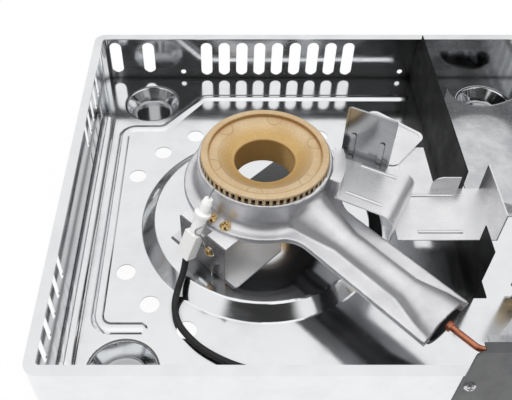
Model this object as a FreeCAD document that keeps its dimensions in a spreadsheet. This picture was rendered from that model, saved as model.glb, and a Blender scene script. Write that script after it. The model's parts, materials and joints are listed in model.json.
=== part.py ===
"""Portable gas stove for a cassette cartridge, shown with its top cover off.

A parametric document in millimetres. +Z is up, -Y is the front with the knob, +X is the cartridge side.
The origin is the middle of the stove's footprint on the table. Every size is a cell of the sheet "dims";
the pieces are built around the burner axis and the top of the case floor.
"""
import FreeCAD, Part
import Sketcher
import math
import os
from types import SimpleNamespace

Vector = FreeCAD.Vector
Rotation = FreeCAD.Rotation
Placement = FreeCAD.Placement

CASE_SIZES = {
    "case_length": "340",
    "case_width": "284",
    "case_wall_height": "40",
    "case_corner": "8",
    "flange_width": "6",
    "sheet": "0.6",
    "burner_from_left": "122",
    "burner_from_back": "152",
    "plateau_foot_radius": "77.8",
    "plateau_top_radius": "68.8",
    "plateau_height": "7.65",
    "plateau_margin": "4.5",
    "press_round": "2.4",
    "dimple_radius": "20",
    "dimple_bottom_radius": "14",
    "dimple_depth": "10",
    "dimple_margin": "2.5",
    "foot_across": "127.6",
    "foot_back": "109.7",
    "foot_front": "118.5",
    "foot_pad": "2.4",
    "foot_radius": "13.2",
    "foot_bevel": "0.8",
    "rib_from_left": "10.4",
    "rib_width": "11",
    "rib_rise": "3.5",
    "rib_back_reach": "99.5",
    "rib_front_reach": "104",
    "bead_width": "8",
    "bead_rise": "1.5",
    "bead_left": "98",
    "bead_front": "81",
    "bead_front_end": "72",
    "bead_step": "90",
    "bead_cut": "68.5",
    "bead_notch": "41",
    "bead_back": "125.8",
    "bead_right": "115",
    "bead_bend": "9",
    "vent_diameter": "11.7",
    "vent_circle": "93.8",
    "vent_first_angle": "26",
    "vent_step_angle": "17.5",
    "slot_low": "3",
    "slot_high": "33",
    "side_slot_width": "5.5",
    "side_slot_pitch": "14",
    "side_slot_offset": "85.5",
    "back_slot_width": "8.7",
    "back_slot_pitch": "13.75",
    "back_slot_middle": "16.7",
    "corner_slot_width": "9",
    "corner_slot_low": "5.5",
    "corner_slot_right": "83.4",
    "corner_slot_left": "108.7",
    "wall_hole_diameter": "4",
    "wall_hole_height": "6",
    "wall_hole_left": "57",
    "wall_hole_right": "115",
    "control_gap_left": "104",
    "control_gap_right": "204",
    "control_gap_low": "8",
    "floor_pad_length": "28",
    "floor_pad_width": "36",
    "floor_pad_rise": "2.5",
    "floor_pad_x": "106",
    "floor_pad_y": "45",
    "floor_pad_corner": "5",
}
BURNER_SIZES = {
    "joint_height": "38.5",
    "joint_flange": "1.5",
    "joint_flange_radius": "48.7",
    "bowl_bore": "36",
    "bowl_radius": "40.2",
    "bowl_round": "6",
    "rim_height": "58.6",
    "ledge_height": "58.2",
    "ledge_radius": "38.3",
    "tube_angle": "48.5",
    "tube_length": "136",
    "tube_radius": "9",
    "tube_wall": "2.2",
    "neck_near": "26",
    "neck_near_radius": "18",
    "neck_middle": "43",
    "neck_middle_radius": "14.6",
    "neck_end": "66",
    "flare_start": "110",
    "flare_middle": "126",
    "flare_middle_half": "14.8",
    "mouth_half": "17",
    "mouth_rise": "11",
    "tube_flange_half": "18.8",
    "tube_flange_fillet": "16",
    "hub_height": "42",
    "hub_wall": "3",
    "hub_foot": "36.2",
    "hub_clearance": "0.15",
    "pan_bottom": "28.5",
    "pan_radius": "41.5",
    "pan_flat_inner": "29",
    "pan_flat_outer": "38",
    "pan_wall": "2.5",
    "cap_radius": "38",
    "cap_top": "62.7",
    "cap_rim_inner": "33.5",
    "cap_recess": "1.8",
    "cap_hole_radius": "17.8",
    "cap_hole_height": "56.3",
    "cap_tube_foot": "38",
    "cap_wall": "1.9",
    "cap_dish_radius": "28",
    "cap_lip": "1.6",
    "cap_edge": "0.9",
    "cap_skirt": "3.5",
    "port_width": "2.2",
    "port_height": "3.1",
    "port_inset": "0.5",
    "port_count": "60",
    "joint_screw_circle": "45.1",
    "joint_screw_diameter": "3",
    "joint_screw_head": "6.2",
    "joint_screw_head_height": "2",
    "screw_clearance": "0.1",
    "screw_seat_margin": "0.3",
    "joint_screw_length": "5",
    "joint_screw_left_angle": "225.8",
    "joint_screw_middle_angle": "238.6",
    "joint_screw_back_angle": "75",
    "cross_width": "0.9",
    "cross_length": "3.6",
    "cross_depth": "0.8",
}
STAND_SIZES = {
    "stand_sheet": "0.8",
    "stand_angle": "45",
    "stand_distance": "54",
    "stand_left": "16",
    "stand_right": "21",
    "stand_notch_left": "7",
    "stand_notch_right": "6.2",
    "stand_notch_low": "25",
    "stand_notch_depth": "4.7",
    "stand_lug_inner": "42.3",
    "stand_side_depth": "11",
    "base_left": "26",
    "base_right": "29.3",
    "base_back": "50",
    "base_corner": "3",
    "base_step": "14",
    "base_tongue": "25",
    "rear_leg_width": "18",
    "rear_leg_distance": "44",
    "stand_screw_side": "9.6",
    "stand_screw_height": "26.9",
    "lock_tab_side": "13",
    "lock_tab_out": "2.6",
    "lock_tab_width": "3.2",
    "lock_tab_height": "7.5",
    "lock_tab_neck": "1.8",
    "lock_tab_twist": "50",
}
IGNITION_SIZES = {
    "electrode_x": "-46.6",
    "electrode_y": "-43.25",
    "electrode_z": "20",
    "electrode_lean_x": "14.1",
    "electrode_lean_y": "11.1",
    "electrode_rise": "37",
    "sleeve_length": "17",
    "sleeve_wide": "9.4",
    "sleeve_deep": "8",
    "sleeve_socket": "5",
    "ceramic_core_radius": "2.6",
    "ceramic_radius": "3.75",
    "ceramic_collar_radius": "4.9",
    "ceramic_collar_start": "29",
    "ceramic_collar_length": "3",
    "ceramic_tip_radius": "2.5",
    "ceramic_neck_radius": "3.3",
    "spark_wire_diameter": "1",
    "spark_wire_length": "7",
    "spark_gap_tilt": "18",
    "clip_wall": "0.6",
    "clip_height": "6",
    "clip_start": "18.5",
    "clip_tab_left": "2.5",
    "clip_tab_inner": "3.6",
    "clip_tab_low": "36.2",
    "clip_tab_high": "40.2",
    "lead_diameter": "4",
    "lead_seat": "1.2",
    "piezo_wide": "12",
    "piezo_deep": "7.6",
    "piezo_height": "27.5",
    "piezo_round": "1.5",
    "plunger_diameter": "5",
    "plunger_clearance": "0.08",
    "plunger_depth": "12",
    "cam_gap": "0.3",
    "boot_length": "12",
    "boot_diameter": "7",
    "boot_height": "7",
}
HEAT_SIZES = {
    "heat_sheet": "0.8",
    "heat_angle": "28.5",
    "heat_near_side": "3.6",
    "heat_far_side": "34.9",
    "heat_inner_radius": "47.5",
    "heat_level": "50",
    "heat_bend_start": "75",
    "heat_bend_radius": "8",
    "heat_rib_width": "2.6",
    "heat_rib_rise": "0.9",
    "heat_rib_start": "51",
    "heat_rib_end": "73",
    "heat_rib_inset": "7",
    "lip_level": "58",
    "lip_inner_radius": "40.9",
    "lip_near_angle": "1.5",
    "lip_far_angle": "36.5",
    "heat_foot_near_angle": "10",
    "heat_foot_far_angle": "26",
    "shield_start": "35.7",
    "shield_end": "65.4",
    "shield_top": "86",
    "shield_foot": "5",
    "shield_corner": "2",
    "shield_frame": "1.4",
    "shield_frame_rise": "0.5",
    "shield_rib_width": "3",
    "shield_rib_height": "17",
    "shield_rib_inset": "6",
    "shield_rib_rise": "0.8",
    "rear_plate_x": "81.5",
    "rear_plate_y": "46.7",
    "rear_plate_length": "42",
    "rear_plate_width": "40",
    "rear_plate_angle": "41",
    "rear_plate_corner": "6",
    "rear_plate_frame": "2.2",
    "rear_plate_frame_rise": "0.6",
    "bridge_level": "29.2",
    "bridge_left": "77",
    "bridge_front": "40",
    "bridge_back": "1",
    "bridge_tongue_left": "88",
    "bridge_tongue_right": "107",
    "bridge_tongue_back": "38",
    "bridge_rib_width": "2.6",
    "bridge_rib_rise": "0.9",
    "bridge_rib_start": "90",
    "bridge_rib_end": "116",
    "bridge_rib_inset": "6",
    "bridge_tab_left": "104",
    "bridge_tab_right": "121",
    "bridge_tab_rise": "11",
    "bridge_tab_corner": "7",
    "saddle_end_rise": "22",
}
CARTRIDGE_SIZES = {
    "cartridge_x": "170",
    "cartridge_axis_height": "40",
    "cartridge_radius": "34",
    "cartridge_clearance": "0.8",
    "partition_x": "124",
    "partition_height": "44",
    "partition_front": "60",
    "partition_back_gap": "0.3",
    "partition_foot": "8",
    "window_clearance": "1",
    "cradle_half": "30",
    "cradle_front": "4",
    "cradle_length": "112",
    "cradle_inset": "6",
}
VALVE_SIZES = {
    "governor_left": "132",
    "governor_length": "52",
    "governor_front": "122",
    "governor_depth": "38",
    "governor_bottom": "25",
    "governor_height": "31",
    "governor_corner": "5",
    "knob_x": "150",
    "knob_height": "40",
    "shaft_diameter": "8",
    "shaft_clearance": "0.05",
    "shaft_inside": "20",
    "shaft_in_knob": "8",
    "cam_radius": "8",
    "cam_offset": "3",
    "cam_length": "5",
    "cam_back_gap": "1.6",
    "knob_travel": "110",
    "diaphragm_radius": "21",
    "diaphragm_rise": "5",
    "cover_flange": "1.6",
    "cover_dome_radius": "15",
    "cover_dome_rise": "5",
    "cover_plug_radius": "4",
    "cover_plug_rise": "2",
    "cover_screw_circle": "18",
    "cover_screw_diameter": "3",
    "cover_screw_head": "5.4",
    "cover_screw_head_height": "1.6",
    "cover_screw_depth": "4",
    "inlet_radius": "14",
    "inlet_length": "9",
    "collar_radius": "18",
    "collar_length": "7",
    "collar_bore_radius": "11",
    "collar_key_width": "5",
    "collar_key_rise": "3",
    "seal_ring_radius": "5.5",
    "seal_wire_radius": "1.5",
    "bracket_sheet": "1",
    "bracket_inset": "2",
    "bracket_foot": "8",
    "jet_diameter": "3.6",
    "jet_collar_diameter": "6",
    "jet_collar_length": "2.4",
    "jet_start": "136.6",
    "jet_pipe_inset": "5",
    "jet_bend": "8",
    "jet_seat": "4",
    "outlet_boss_radius": "5.5",
    "outlet_boss_length": "6",
}
CONTROL_SIZES = {
    "panel_sheet": "1",
    "panel_left": "92",
    "panel_right": "211",
    "panel_bottom": "0",
    "panel_top": "64",
    "panel_corner": "4",
    "panel_lip": "4.5",
    "panel_screw_inset": "4",
    "panel_screw_low": "8",
    "panel_screw_high": "32",
    "panel_screw_diameter": "3",
    "panel_screw_head": "6",
    "panel_screw_head_height": "1.8",
    "panel_screw_length": "6",
    "shaft_hole_clearance": "1.5",
    "knob_gap": "0.8",
    "knob_radius": "23",
    "knob_skirt": "6",
    "knob_length": "17",
    "knob_taper": "1.5",
    "knob_grip_width": "11",
    "knob_bore_depth": "9",
    "knob_round": "1.5",
    "lever_x": "199",
    "lever_thick": "4",
    "lever_pivot_y": "84",
    "lever_pivot_height": "30",
    "lever_boss_radius": "6",
    "lever_arm_width": "8",
    "lever_reach": "66.5",
    "lever_crank": "16",
    "lever_crank_width": "7",
    "lever_travel": "30",
    "lever_pin_diameter": "5",
    "lever_pin_clearance": "0.08",
    "crank_pin_diameter": "4",
    "crank_pin_length": "8",
    "grip_length": "13",
    "grip_height": "13",
    "grip_width": "12",
    "grip_round": "2.5",
    "clevis_gap": "0.4",
    "clevis_sheet": "1.2",
    "clevis_half": "8",
    "clevis_rise": "36",
    "pin_head_radius": "4",
    "pin_head_length": "1.2",
    "panel_slot_clearance": "1.4",
    "pusher_sheet": "1.2",
    "pusher_half": "14",
    "pusher_lift": "0.3",
    "pusher_x": "164",
    "pusher_front": "108",
    "fork_y": "56",
    "fork_left": "24",
    "fork_right": "21.2",
    "fork_top": "57",
    "fork_mouth": "13",
    "fork_ear_low": "39",
    "fork_ear_high": "53",
    "crank_slot_clearance": "0.2",
    "guide_wall": "1.6",
    "guide_rise": "4.5",
    "guide_clearance": "0.3",
    "guide_lip": "2.4",
}
SIZES = {
    **CASE_SIZES,
    **BURNER_SIZES,
    **STAND_SIZES,
    **IGNITION_SIZES,
    **HEAT_SIZES,
    **CARTRIDGE_SIZES,
    **VALVE_SIZES,
    **CONTROL_SIZES,
}
# Counts of what repeats
SIDE_SLOTS = 5
BACK_SLOTS = 9
VENTS_IN_A_GROUP = 3


class Size:
    """A number together with the expression that gives it, so that a sum of sizes stays bound."""

    def __init__(self, number, text):
        self.number = number
        self.text = text

    def __add__(self, other):
        return Size(self.number + number_of(other), f"({self.text} + {text_of(other)})")

    def __sub__(self, other):
        return Size(self.number - number_of(other), f"({self.text} - {text_of(other)})")

    def __mul__(self, other):
        return Size(self.number * number_of(other), f"({self.text} * {text_of(other)})")

    def __truediv__(self, other):
        return Size(self.number / number_of(other), f"({self.text} / {text_of(other)})")

    def __radd__(self, other):
        return as_size(other) + self

    def __rsub__(self, other):
        return as_size(other) - self

    def __rmul__(self, other):
        return as_size(other) * self

    def __neg__(self):
        return Size(-self.number, f"(0 - {self.text})")


def number_of(value):
    return value.number if isinstance(value, Size) else float(value)


def text_of(value):
    return value.text if isinstance(value, Size) else f"({float(value)})"


def as_size(value):
    return value if isinstance(value, Size) else Size(float(value), text_of(value))


def root(value):
    return Size(math.sqrt(number_of(value)), f"sqrt({text_of(value)})")


def cosine(degrees):
    return Size(math.cos(math.radians(number_of(degrees))), f"cos({text_of(degrees)})")


def sine(degrees):
    return Size(math.sin(math.radians(number_of(degrees))), f"sin({text_of(degrees)})")


doc = FreeCAD.newDocument("portable_gas_stove")
sheet = doc.addObject("Spreadsheet::Sheet", "dims")
for row, (alias, value) in enumerate(SIZES.items(), start=1):
    sheet.set(f"A{row}", alias)
    sheet.set(f"B{row}", value)
    sheet.setAlias(f"B{row}", alias)
doc.recompute()
dim = SimpleNamespace(**{alias: Size(float(value), f"dims.{alias}") for alias, value in SIZES.items()})

# Places that the pieces share. The case stands back by half of what the knob reaches out in front of it.
front_reach = dim.panel_sheet + dim.knob_gap + dim.knob_length
case_y = front_reach / 2
floor_z = dim.foot_pad + dim.sheet + dim.dimple_depth
burner_x = dim.burner_from_left - dim.case_length / 2
burner_y = case_y + dim.case_width / 2 - dim.burner_from_back
case_front = dim.burner_from_back - dim.case_width
panel_face = case_front - dim.panel_sheet
case_right = dim.case_length - dim.burner_from_left

FLAT = Rotation()
FACING_FRONT = Rotation(Vector(1, 0, 0), 90)
FACING_RIGHT = Rotation(Vector(1, 1, 1), 120)
ALONG_X = Rotation(Vector(0, 1, 0), 90)
UP = Vector(0, 0, 1)
FULL_TURN = 360


def bind(item, name, size):
    item.setExpression(name, text_of(size))


def place(item, spot, turn=FLAT):
    item.Placement = Placement(Vector(*[number_of(value) for value in spot]), turn)
    for axis, value in zip("xyz", spot):
        bind(item, f"Placement.Base.{axis}", value)
    return item


def at_burner(x=0, y=0, z=0):
    """A spot given from the burner axis and the top of the case floor."""
    return (burner_x + x, burner_y + y, floor_z + z)


def turn_about_z(degrees):
    return Rotation(UP, number_of(degrees))


def circle(x, y, radius):
    return ("circle", x, y, radius)


def arc_middle(start, end, radius, sense):
    """The middle of the short arc from start to end, which turns left (sense 1) or right (-1)."""
    chord = end - start
    left = Vector(-chord.y, chord.x, 0).normalize() * sense
    rise = math.sqrt(max(radius * radius - chord.Length ** 2 / 4, 0))
    centre = (start + end) / 2 + left * rise
    return centre - left * radius


def pin_point(sketch, edge, end, x, y):
    """Holds one end of an edge at x and y, both bound to the sheet."""
    for kind, axis, value in (("DistanceX", -2, x), ("DistanceY", -1, y)):
        if isinstance(value, Size) or value:
            index = sketch.addConstraint(
                Sketcher.Constraint(kind, -1, 1, edge, end, number_of(value)))
            bind(sketch, f"Constraints[{index}]", value)
        else:
            sketch.addConstraint(Sketcher.Constraint("PointOnObject", edge, end, axis))


def draw_circle(sketch, x, y, radius):
    centre = Vector(number_of(x), number_of(y), 0)
    edge = sketch.addGeometry(Part.Circle(centre, UP, number_of(radius)))
    pin_point(sketch, edge, 3, x, y)
    index = sketch.addConstraint(Sketcher.Constraint("Radius", edge, number_of(radius)))
    bind(sketch, f"Constraints[{index}]", radius)


def draw_loop(sketch, points):
    """A closed outline. A point is (x, y), or (x, y, radius, sense) where an arc starts."""
    ends = [Vector(number_of(point[0]), number_of(point[1]), 0) for point in points]
    joints = []
    for index, point in enumerate(points):
        start = ends[index]
        end = ends[(index + 1) % len(points)]
        if len(point) == 2:
            edge = sketch.addGeometry(Part.LineSegment(start, end))
            joints.append((edge, 1, 2))
            continue
        middle = arc_middle(start, end, number_of(point[2]), point[3])
        if point[3] > 0:
            edge = sketch.addGeometry(Part.Arc(start, middle, end))
            joints.append((edge, 1, 2))
        else:
            edge = sketch.addGeometry(Part.Arc(end, middle, start))
            joints.append((edge, 2, 1))
    for index, (edge, first, last) in enumerate(joints):
        after, after_first, after_last = joints[(index + 1) % len(joints)]
        sketch.addConstraint(Sketcher.Constraint("Coincident", edge, last, after, after_first))
        point = points[index]
        pin_point(sketch, edge, first, point[0], point[1])
        if len(point) > 2:
            row = sketch.addConstraint(Sketcher.Constraint("Radius", edge, number_of(point[2])))
            bind(sketch, f"Constraints[{row}]", point[2])


def draw(sketch, loops):
    for loop in loops:
        if loop[0] == "circle":
            draw_circle(sketch, *loop[1:])
        else:
            draw_loop(sketch, loop)


def body_sketch(body, role, loops):
    sketch = body.newObject("Sketcher::SketchObject", f"{body.Name}_sketch")
    plane = next(item for item in body.Origin.OriginFeatures if item.Role == role)
    sketch.AttachmentSupport = (plane, [""])
    sketch.MapMode = "FlatFace"
    draw(sketch, loops)
    return sketch


def padded(name, loops, depth, spot, turn=FLAT):
    """A body padded from outlines in its own XY plane."""
    body = doc.addObject("PartDesign::Body", name)
    sketch = body_sketch(body, "XY_Plane", loops)
    pad = body.newObject("PartDesign::Pad", f"{name}_pad")
    pad.Profile = sketch
    bind(pad, "Length", depth)
    return place(body, spot, turn)


def turned(name, profile, spot, turn=FLAT):
    """A body turned about its own Z axis from a profile of (radius, height) points."""
    body = doc.addObject("PartDesign::Body", name)
    sketch = body_sketch(body, "XZ_Plane", [profile])
    spin = body.newObject("PartDesign::Revolution", f"{name}_turn")
    spin.Profile = sketch
    spin.ReferenceAxis = (sketch, ["V_Axis"])
    spin.Angle = FULL_TURN
    return place(body, spot, turn)


def round_edges(body, radius, chosen):
    """Rounds the edges of a body that the test chooses."""
    doc.recompute()
    base = body.Tip
    names = [f"Edge{number}" for number, edge in enumerate(base.Shape.Edges, start=1) if chosen(edge)]
    fillet = body.newObject("PartDesign::Fillet", f"{body.Name}_round")
    fillet.Base = (base, names)
    bind(fillet, "Radius", radius)
    return body


def ring_edge(radius, height):
    """A test for the circle of that radius at that height of a turned body."""
    def chosen(edge):
        curve = edge.Curve
        if not isinstance(curve, Part.Circle):
            return False
        same_radius = abs(curve.Radius - number_of(radius)) < 1e-4
        return same_radius and abs(curve.Center.z - number_of(height)) < 1e-4
    return chosen


def box(name, length, width, height, spot, turn=FLAT):
    item = doc.addObject("Part::Box", name)
    bind(item, "Length", length)
    bind(item, "Width", width)
    bind(item, "Height", height)
    return place(item, spot, turn)


def rod(name, radius, length, spot, turn=FLAT):
    item = doc.addObject("Part::Cylinder", name)
    bind(item, "Radius", radius)
    bind(item, "Height", length)
    return place(item, spot, turn)


def ball(name, radius, spot):
    item = doc.addObject("Part::Sphere", name)
    bind(item, "Radius", radius)
    return place(item, spot)


def extruded(name, loops, depth, spot, turn=FLAT):
    """Several outlines of one sketch pushed out together, used for cuts that repeat."""
    sketch = doc.addObject("Sketcher::SketchObject", f"{name}_sketch")
    draw(sketch, loops)
    place(sketch, spot, turn)
    item = doc.addObject("Part::Extrusion", name)
    item.Base = sketch
    item.DirMode = "Normal"
    item.Solid = True
    bind(item, "LengthFwd", depth)
    return item


def fused(name, *items):
    item = doc.addObject("Part::MultiFuse", name)
    item.Shapes = list(items)
    item.Refine = True
    return item


def cut(name, base, *tools):
    item = doc.addObject("Part::Cut", name)
    item.Base = base
    item.Tool = tools[0] if len(tools) == 1 else fused(f"{name}_tools", *tools)
    item.Refine = True
    return item


def common(name, first, second):
    item = doc.addObject("Part::Common", name)
    item.Base = first
    item.Tool = second
    return item


def group(name, items):
    item = doc.addObject("Part::Compound", name)
    item.Links = items
    return item


def rounded(length, width, radius):
    """A rectangle about the sketch's origin with round corners."""
    right = length / 2
    back = width / 2
    return [
        (right - radius, -back, radius, 1),
        (right, -back + radius),
        (right, back - radius, radius, 1),
        (right - radius, back),
        (-right + radius, back, radius, 1),
        (-right, back - radius),
        (-right, -back + radius, radius, 1),
        (-right + radius, -back),
    ]


def rectangle(left, low, right, high):
    return [(left, low), (right, low), (right, high), (left, high)]


def upright_slot(x, low, high, width):
    """A slot along the sketch's second axis with round ends."""
    half = width / 2
    return [
        (x + half, low + half),
        (x + half, high - half, half, 1),
        (x, high, half, 1),
        (x - half, high - half),
        (x - half, low + half, half, 1),
        (x, low, half, 1),
    ]


def route(points, radii):
    """A wire of straight runs through the points, joined by tangent arcs of the given radii."""
    edges = []
    start = points[0]
    for before, corner, after, radius in zip(points, points[1:], points[2:], radii):
        inward = (before - corner).normalize()
        onward = (after - corner).normalize()
        half = inward.getAngle(onward) / 2
        reach = radius / math.tan(half)
        middle_way = (inward + onward).normalize()
        centre = corner + middle_way * (radius / math.sin(half))
        first = corner + inward * reach
        last = corner + onward * reach
        edges.append(Part.LineSegment(start, first).toShape())
        edges.append(Part.Arc(first, centre - middle_way * radius, last).toShape())
        start = last
    edges.append(Part.LineSegment(start, points[-1]).toShape())
    return Part.Wire(edges)


def tube_along(name, wire, radius):
    """A round solid along a wire."""
    first = wire.OrderedEdges[0]
    start = first.valueAt(first.FirstParameter)
    tangent = first.tangentAt(first.FirstParameter)
    section = Part.Wire([Part.Circle(start, tangent, radius).toShape()])
    item = doc.addObject("Part::Feature", name)
    item.Shape = wire.makePipeShell([section], True, False)
    return item


def spot_vector(spot):
    return Vector(*[number_of(value) for value in spot])


def pressed_plateau():
    """The round platform under the burner, one sheet thick, with rounded press lines."""
    rise = dim.plateau_height
    run = dim.plateau_foot_radius - dim.plateau_top_radius
    slope = root(rise * rise + run * run)
    shift = dim.sheet * rise / (slope + run)
    seat = dim.plateau_foot_radius + dim.plateau_margin
    under = rise - dim.sheet
    body = turned("case_plateau", [
        (0, under),
        (dim.plateau_top_radius - shift, under),
        (dim.plateau_foot_radius - shift, -dim.sheet),
        (seat, -dim.sheet),
        (seat, 0),
        (dim.plateau_foot_radius, 0),
        (dim.plateau_top_radius, rise),
        (0, rise),
    ], at_burner())
    round_edges(body, dim.press_round, ring_edge(dim.plateau_top_radius, rise))
    round_edges(body, dim.press_round - dim.sheet, ring_edge(dim.plateau_top_radius - shift, under))
    round_edges(body, dim.press_round - dim.sheet, ring_edge(dim.plateau_foot_radius, 0))
    round_edges(body, dim.press_round, ring_edge(dim.plateau_foot_radius - shift, -dim.sheet))
    return body, seat


def foot_spots():
    """The four dimples, as places of their middles at the top of the floor."""
    return [(side * dim.foot_across, case_y + along, floor_z)
            for along in (dim.foot_back, -dim.foot_front) for side in (-1, 1)]


def pressed_dimple(index, spot):
    """A cup pressed down into the floor, which carries a rubber foot under it."""
    depth = dim.dimple_depth
    run = dim.dimple_radius - dim.dimple_bottom_radius
    slope = root(depth * depth + run * run)
    shift = dim.sheet * depth / (slope + run)
    seat = dim.dimple_radius + dim.dimple_margin
    body = turned(f"case_dimple_{index}", [
        (0, -depth - dim.sheet),
        (dim.dimple_bottom_radius + shift, -depth - dim.sheet),
        (dim.dimple_radius + shift, -dim.sheet),
        (seat, -dim.sheet),
        (seat, 0),
        (dim.dimple_radius, 0),
        (dim.dimple_bottom_radius, -depth),
        (0, -depth),
    ], spot)
    round_edges(body, dim.press_round, ring_edge(dim.dimple_bottom_radius, -depth))
    round_edges(body, dim.press_round - dim.sheet, ring_edge(dim.dimple_radius + shift, -dim.sheet))
    round_edges(body, dim.press_round, ring_edge(dim.dimple_radius, 0))
    return body, seat


def bead_pair(name, points, bends, width, rise):
    """A half round bead along the floor: the solid that raises it and the one that hollows it."""
    half = number_of(width) / 2
    top = number_of(rise)
    radius = (half * half + top * top) / (2 * top)
    drop = Vector(0, 0, top - radius)
    wire = route([point + drop for point in points], bends)
    solids = []
    for kind, size in (("raise", radius), ("hollow", radius - number_of(dim.sheet))):
        ends = [ball(f"{name}_{kind}_end_{index}", size, tuple(point + drop))
                for index, point in enumerate((points[0], points[-1]))]
        solids.append(fused(f"{name}_{kind}", tube_along(f"{name}_{kind}_run", wire, size), *ends))
    return solids


def floor_beads():
    """The rib along the left wall and the bead round the floor panel."""
    rib_x = dim.rib_from_left - dim.burner_from_left
    rib = bead_pair("case_rib", [
        spot_vector(at_burner(rib_x, dim.rib_back_reach)),
        spot_vector(at_burner(rib_x, -dim.rib_front_reach)),
    ], [], dim.rib_width, dim.rib_rise)
    outline = [
        spot_vector(at_burner(dim.bead_right, dim.bead_back)),
        spot_vector(at_burner(-dim.bead_notch, dim.bead_back)),
        spot_vector(at_burner(-dim.bead_cut, dim.bead_step)),
        spot_vector(at_burner(-dim.bead_left, dim.bead_step)),
        spot_vector(at_burner(-dim.bead_left, -dim.bead_front)),
        spot_vector(at_burner(-dim.bead_front_end, -dim.bead_front)),
    ]
    bend = number_of(dim.bead_bend)
    edge = bead_pair("case_bead", outline, [bend, bend, bend, bend], dim.bead_width, dim.bead_rise)
    return rib, edge


def floor_pad():
    """The flat raised pad in the floor beside the mixing tube."""
    spot = at_burner(dim.floor_pad_x, -dim.floor_pad_y, -dim.sheet)
    outer = rounded(dim.floor_pad_length, dim.floor_pad_width, dim.floor_pad_corner)
    inner = rounded(dim.floor_pad_length - 2 * dim.sheet, dim.floor_pad_width - 2 * dim.sheet,
                    dim.floor_pad_corner - dim.sheet)
    raised = padded("case_pad_raise", [outer], dim.floor_pad_rise + dim.sheet, spot)
    hollow = padded("case_pad_hollow", [inner], dim.floor_pad_rise, spot)
    return raised, hollow


def wall_slots():
    """The upright air slots of the two side walls and the back wall, and the two small back holes."""
    low = dim.slot_low
    high = dim.slot_high
    side = []
    for middle in (-dim.side_slot_offset, dim.side_slot_offset):
        for number in range(SIDE_SLOTS):
            across = middle + dim.side_slot_pitch * (number - (SIDE_SLOTS - 1) / 2)
            side.append(upright_slot(across, low, high, dim.side_slot_width))
    half = dim.case_length / 2
    reach = dim.flange_width / 2
    through_left = extruded("case_left_slots", side, dim.flange_width, (-half - reach, case_y, floor_z),
                            FACING_RIGHT)
    through_right = extruded("case_right_slots", side, dim.flange_width, (half - reach, case_y, floor_z),
                             FACING_RIGHT)
    back = []
    for number in range(BACK_SLOTS):
        across = dim.back_slot_middle + dim.back_slot_pitch * (number - (BACK_SLOTS - 1) / 2)
        back.append(upright_slot(across, low, high, dim.back_slot_width))
    for across in (-dim.corner_slot_left, -dim.corner_slot_right):
        back.append(upright_slot(across, dim.corner_slot_low, high, dim.corner_slot_width))
    for across in (-dim.wall_hole_left, dim.wall_hole_right):
        back.append(circle(across, dim.wall_hole_height, dim.wall_hole_diameter / 2))
    through_back = extruded("case_back_slots", back, dim.flange_width,
                            at_burner(0, dim.burner_from_back + reach, 0), FACING_FRONT)
    return through_left, through_right, through_back


def vent_holes():
    """Round holes in the floor around the plateau, in three groups."""
    loops = []
    for start, sense in ((180, 1), (180, -1), (0, 1)):
        for number in range(VENTS_IN_A_GROUP):
            angle = dim.vent_first_angle + dim.vent_step_angle * number
            turn = start + sense * angle
            loops.append(circle(dim.vent_circle * cosine(turn), dim.vent_circle * sine(turn),
                                dim.vent_diameter / 2))
    return extruded("case_vents", loops, 2 * dim.dimple_depth, at_burner(0, 0, -dim.dimple_depth))


def lower_case():
    """The bright tray that carries everything, pressed from one sheet."""
    height = dim.case_wall_height + dim.sheet
    outer = padded("case_outer", [rounded(dim.case_length, dim.case_width, dim.case_corner)], height,
                   (0, case_y, floor_z - dim.sheet))
    inside = rounded(dim.case_length - 2 * dim.sheet, dim.case_width - 2 * dim.sheet,
                     dim.case_corner - dim.sheet)
    cavity = padded("case_cavity", [inside], dim.case_wall_height - dim.sheet, (0, case_y, floor_z))
    mouth_loop = rounded(dim.case_length - 2 * dim.flange_width, dim.case_width - 2 * dim.flange_width,
                         dim.case_corner - dim.flange_width)
    mouth = padded("case_mouth", [mouth_loop], dim.case_wall_height, (0, case_y, floor_z + dim.sheet))
    plateau, plateau_seat = pressed_plateau()
    holes = [rod("case_plateau_hole", plateau_seat, 4 * dim.sheet, at_burner(0, 0, -2 * dim.sheet))]
    pressings = [plateau]
    for index, spot in enumerate(foot_spots(), start=1):
        dimple, seat = pressed_dimple(index, spot)
        pressings.append(dimple)
        low_spot = (spot[0], spot[1], spot[2] - 2 * dim.sheet)
        holes.append(rod(f"case_dimple_hole_{index}", seat, 4 * dim.sheet, low_spot))
    shell = cut("case_shell", outer, cavity, mouth, *holes)
    above = box("case_above", dim.case_length, dim.case_width, dim.case_wall_height,
                (-dim.case_length / 2, case_y - dim.case_width / 2, floor_z - dim.sheet))
    (rib_raise, rib_hollow), (bead_raise, bead_hollow) = floor_beads()
    pad_raise, pad_hollow = floor_pad()
    raised = common("case_raised", fused("case_beads", rib_raise, bead_raise, pad_raise), above)
    full = fused("case_full", shell, raised, *pressings)
    gap_length = dim.control_gap_right - dim.control_gap_left
    control_gap = box("case_control_gap", gap_length, 2 * dim.flange_width, dim.case_wall_height,
                      at_burner(dim.control_gap_left, case_front - dim.flange_width, dim.control_gap_low))
    return cut("lower_case", full, rib_hollow, bead_hollow, pad_hollow, vent_holes(), *wall_slots(),
               control_gap, *panel_screw_rods("case_panel_hole", dim.panel_screw_diameter / 2
                                              + dim.screw_clearance))


def rubber_feet():
    feet = []
    for index, (x, y, z) in enumerate(foot_spots(), start=1):
        feet.append(turned(f"rubber_foot_{index}", [
            (0, 0),
            (dim.foot_radius - dim.foot_bevel, 0),
            (dim.foot_radius, dim.foot_bevel),
            (dim.foot_radius, dim.foot_pad),
            (0, dim.foot_pad),
        ], (x, y, 0)))
    return group("rubber_feet", feet)


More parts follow.
